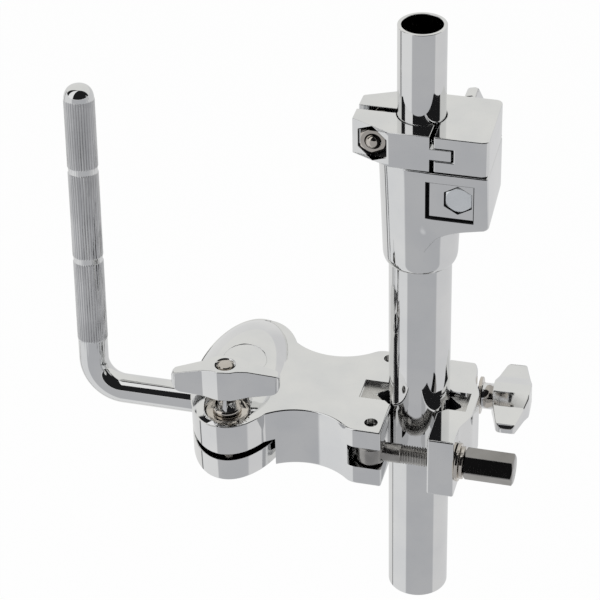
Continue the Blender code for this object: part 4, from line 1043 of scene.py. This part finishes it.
surround = start_piece("card_surround", bpy.ops.mesh.primitive_uv_sphere_add, segments=64, ring_count=32,
                       radius=2.5, location=(0, 0, 0.13))
cards = new_material("studio_cards")
tree = cards.node_tree
tree.nodes.remove(tree.nodes["Principled BSDF"])
place = add_node(tree, "TexCoord")
unit = add_node(tree, "VectorMath")
unit.operation = "NORMALIZE"
tree.links.new(place.outputs["Object"], unit.inputs[0])
to_camera = Vector((math.sin(CAMERA_TURN), -math.cos(CAMERA_TURN), 0))
to_right = Vector((math.cos(CAMERA_TURN), math.sin(CAMERA_TURN), 0))
ahead = along(tree, unit.outputs[0], to_camera)
aside = along(tree, unit.outputs[0], to_right)
rise = along(tree, unit.outputs[0], (0, 0, 1))
bearing = math_node(tree, "ADD", math_node(tree, "DIVIDE", math_node(tree, "ARCTAN2", aside, ahead), math.tau), 0.5)
low_cards = ramp(tree, [(angle / 360 + 0.5, value) for angle, value in LOW_CARDS])
tree.links.new(bearing, low_cards.inputs["Fac"])
back_share = ramp(tree, [(BLACK_FADE[0], BLACK_CARD), (BLACK_FADE[1], FAR_CARD), (1.0, FAR_CARD)])
leftward = math_node(tree, "MAXIMUM", math_node(tree, "MULTIPLY", aside, -0.4), 0.0)
nearness = math_node(tree, "ADD", ahead, leftward)
tree.links.new(math_node(tree, "SUBTRACT", 0.5, math_node(tree, "MULTIPLY", nearness, 0.5)), back_share.inputs["Fac"])
lift = math_node(tree, "ADD", math_node(tree, "MULTIPLY", rise, 0.5), 0.5)
edge_step = ramp(tree, [(0.0, NONE), (EDGE_RISE[0], NONE), (EDGE_RISE[1], ALL), (1.0, ALL)])
dark_step = ramp(tree, [(0.0, NONE), (DARK_RISE[0], NONE), (DARK_RISE[1], ALL), (1.0, ALL)])
tree.links.new(lift, edge_step.inputs["Fac"])
tree.links.new(lift, dark_step.inputs["Fac"])
near_edge = math_node(tree, "MULTIPLY", edge_step.outputs["Color"], math_node(tree, "GREATER_THAN", ahead, 0.0))
lower = mixed(tree, near_edge, low_cards.outputs["Color"], 1.0)
box_share = math_node(tree, "MULTIPLY", math_node(tree, "GREATER_THAN", bearing, LEFT_BOX[0] / 360 + 0.5),
                      math_node(tree, "LESS_THAN", bearing, LEFT_BOX[1] / 360 + 0.5))
upper = mixed(tree, box_share, back_share.outputs["Color"], LEFT_BOX_GLOW)
whole = mixed(tree, dark_step.outputs["Color"], lower, upper)
glow = add_node(tree, "Emission")
tree.links.new(whole, glow.inputs["Color"])
tree.links.new(glow.outputs[0], tree.nodes["Material Output"].inputs["Surface"])
surround.data.materials.append(cards)
surround.visible_camera = False
surround.visible_diffuse = False
surround.visible_shadow = False
surround.visible_transmission = False

floor = start_piece("floor", bpy.ops.mesh.primitive_circle_add, vertices=64, radius=6.0, fill_type="NGON",
                    location=(0, 0, -0.30))
paper = new_material("white_paper")
tree = paper.node_tree
shader = tree.nodes["Principled BSDF"]
shader.inputs["Base Color"].default_value = (0.86, 0.86, 0.86, 1.0)
shader.inputs["Roughness"].default_value = 0.9
white = add_node(tree, "Emission")
blend = add_node(tree, "MixShader")
tree.links.new(math_node(tree, "MULTIPLY", seen_share(tree), 0.95), blend.inputs[0])
tree.links.new(shader.outputs[0], blend.inputs[1])
tree.links.new(white.outputs[0], blend.inputs[2])
tree.links.new(blend.outputs[0], tree.nodes["Material Output"].inputs["Surface"])
floor.data.materials.append(paper)
floor.visible_glossy = False

world = bpy.data.worlds.new("light_tent")
bpy.context.scene.world = world
world.use_nodes = True
tree = world.node_tree
sky = tree.nodes["Background"]
tree.links.new(mixed(tree, seen_share(tree), 0.75, 1.0), sky.inputs["Color"])

bpy.ops.object.light_add(type="AREA", location=LAMP_AT)
lamp = bpy.context.active_object
lamp.data.size = 1.2
lamp.data.energy = 8.0
lamp.rotation_euler = (LAMP_AIM - lamp.location).to_track_quat("-Z", "Y").to_euler()
lamp.visible_glossy = False

back = Vector((math.sin(CAMERA_TURN) * math.cos(CAMERA_RISE), -math.cos(CAMERA_TURN) * math.cos(CAMERA_RISE),
               math.sin(CAMERA_RISE)))
upright = back.cross(to_right)
right = math.cos(CAMERA_ROLL) * to_right - math.sin(CAMERA_ROLL) * upright
upward = math.sin(CAMERA_ROLL) * to_right + math.cos(CAMERA_ROLL) * upright
bpy.ops.object.camera_add()
camera = bpy.context.active_object
camera.data.lens = 144.0
camera.data.sensor_width = 36.0
turn = Matrix((right, upward, back)).transposed().to_4x4()
camera.matrix_world = Matrix.Translation(CAMERA_AIM - CAMERA_ASIDE * right + CAMERA_BACK * back) @ turn
bpy.context.scene.camera = camera
bpy.context.scene.view_settings.view_transform = "Standard"
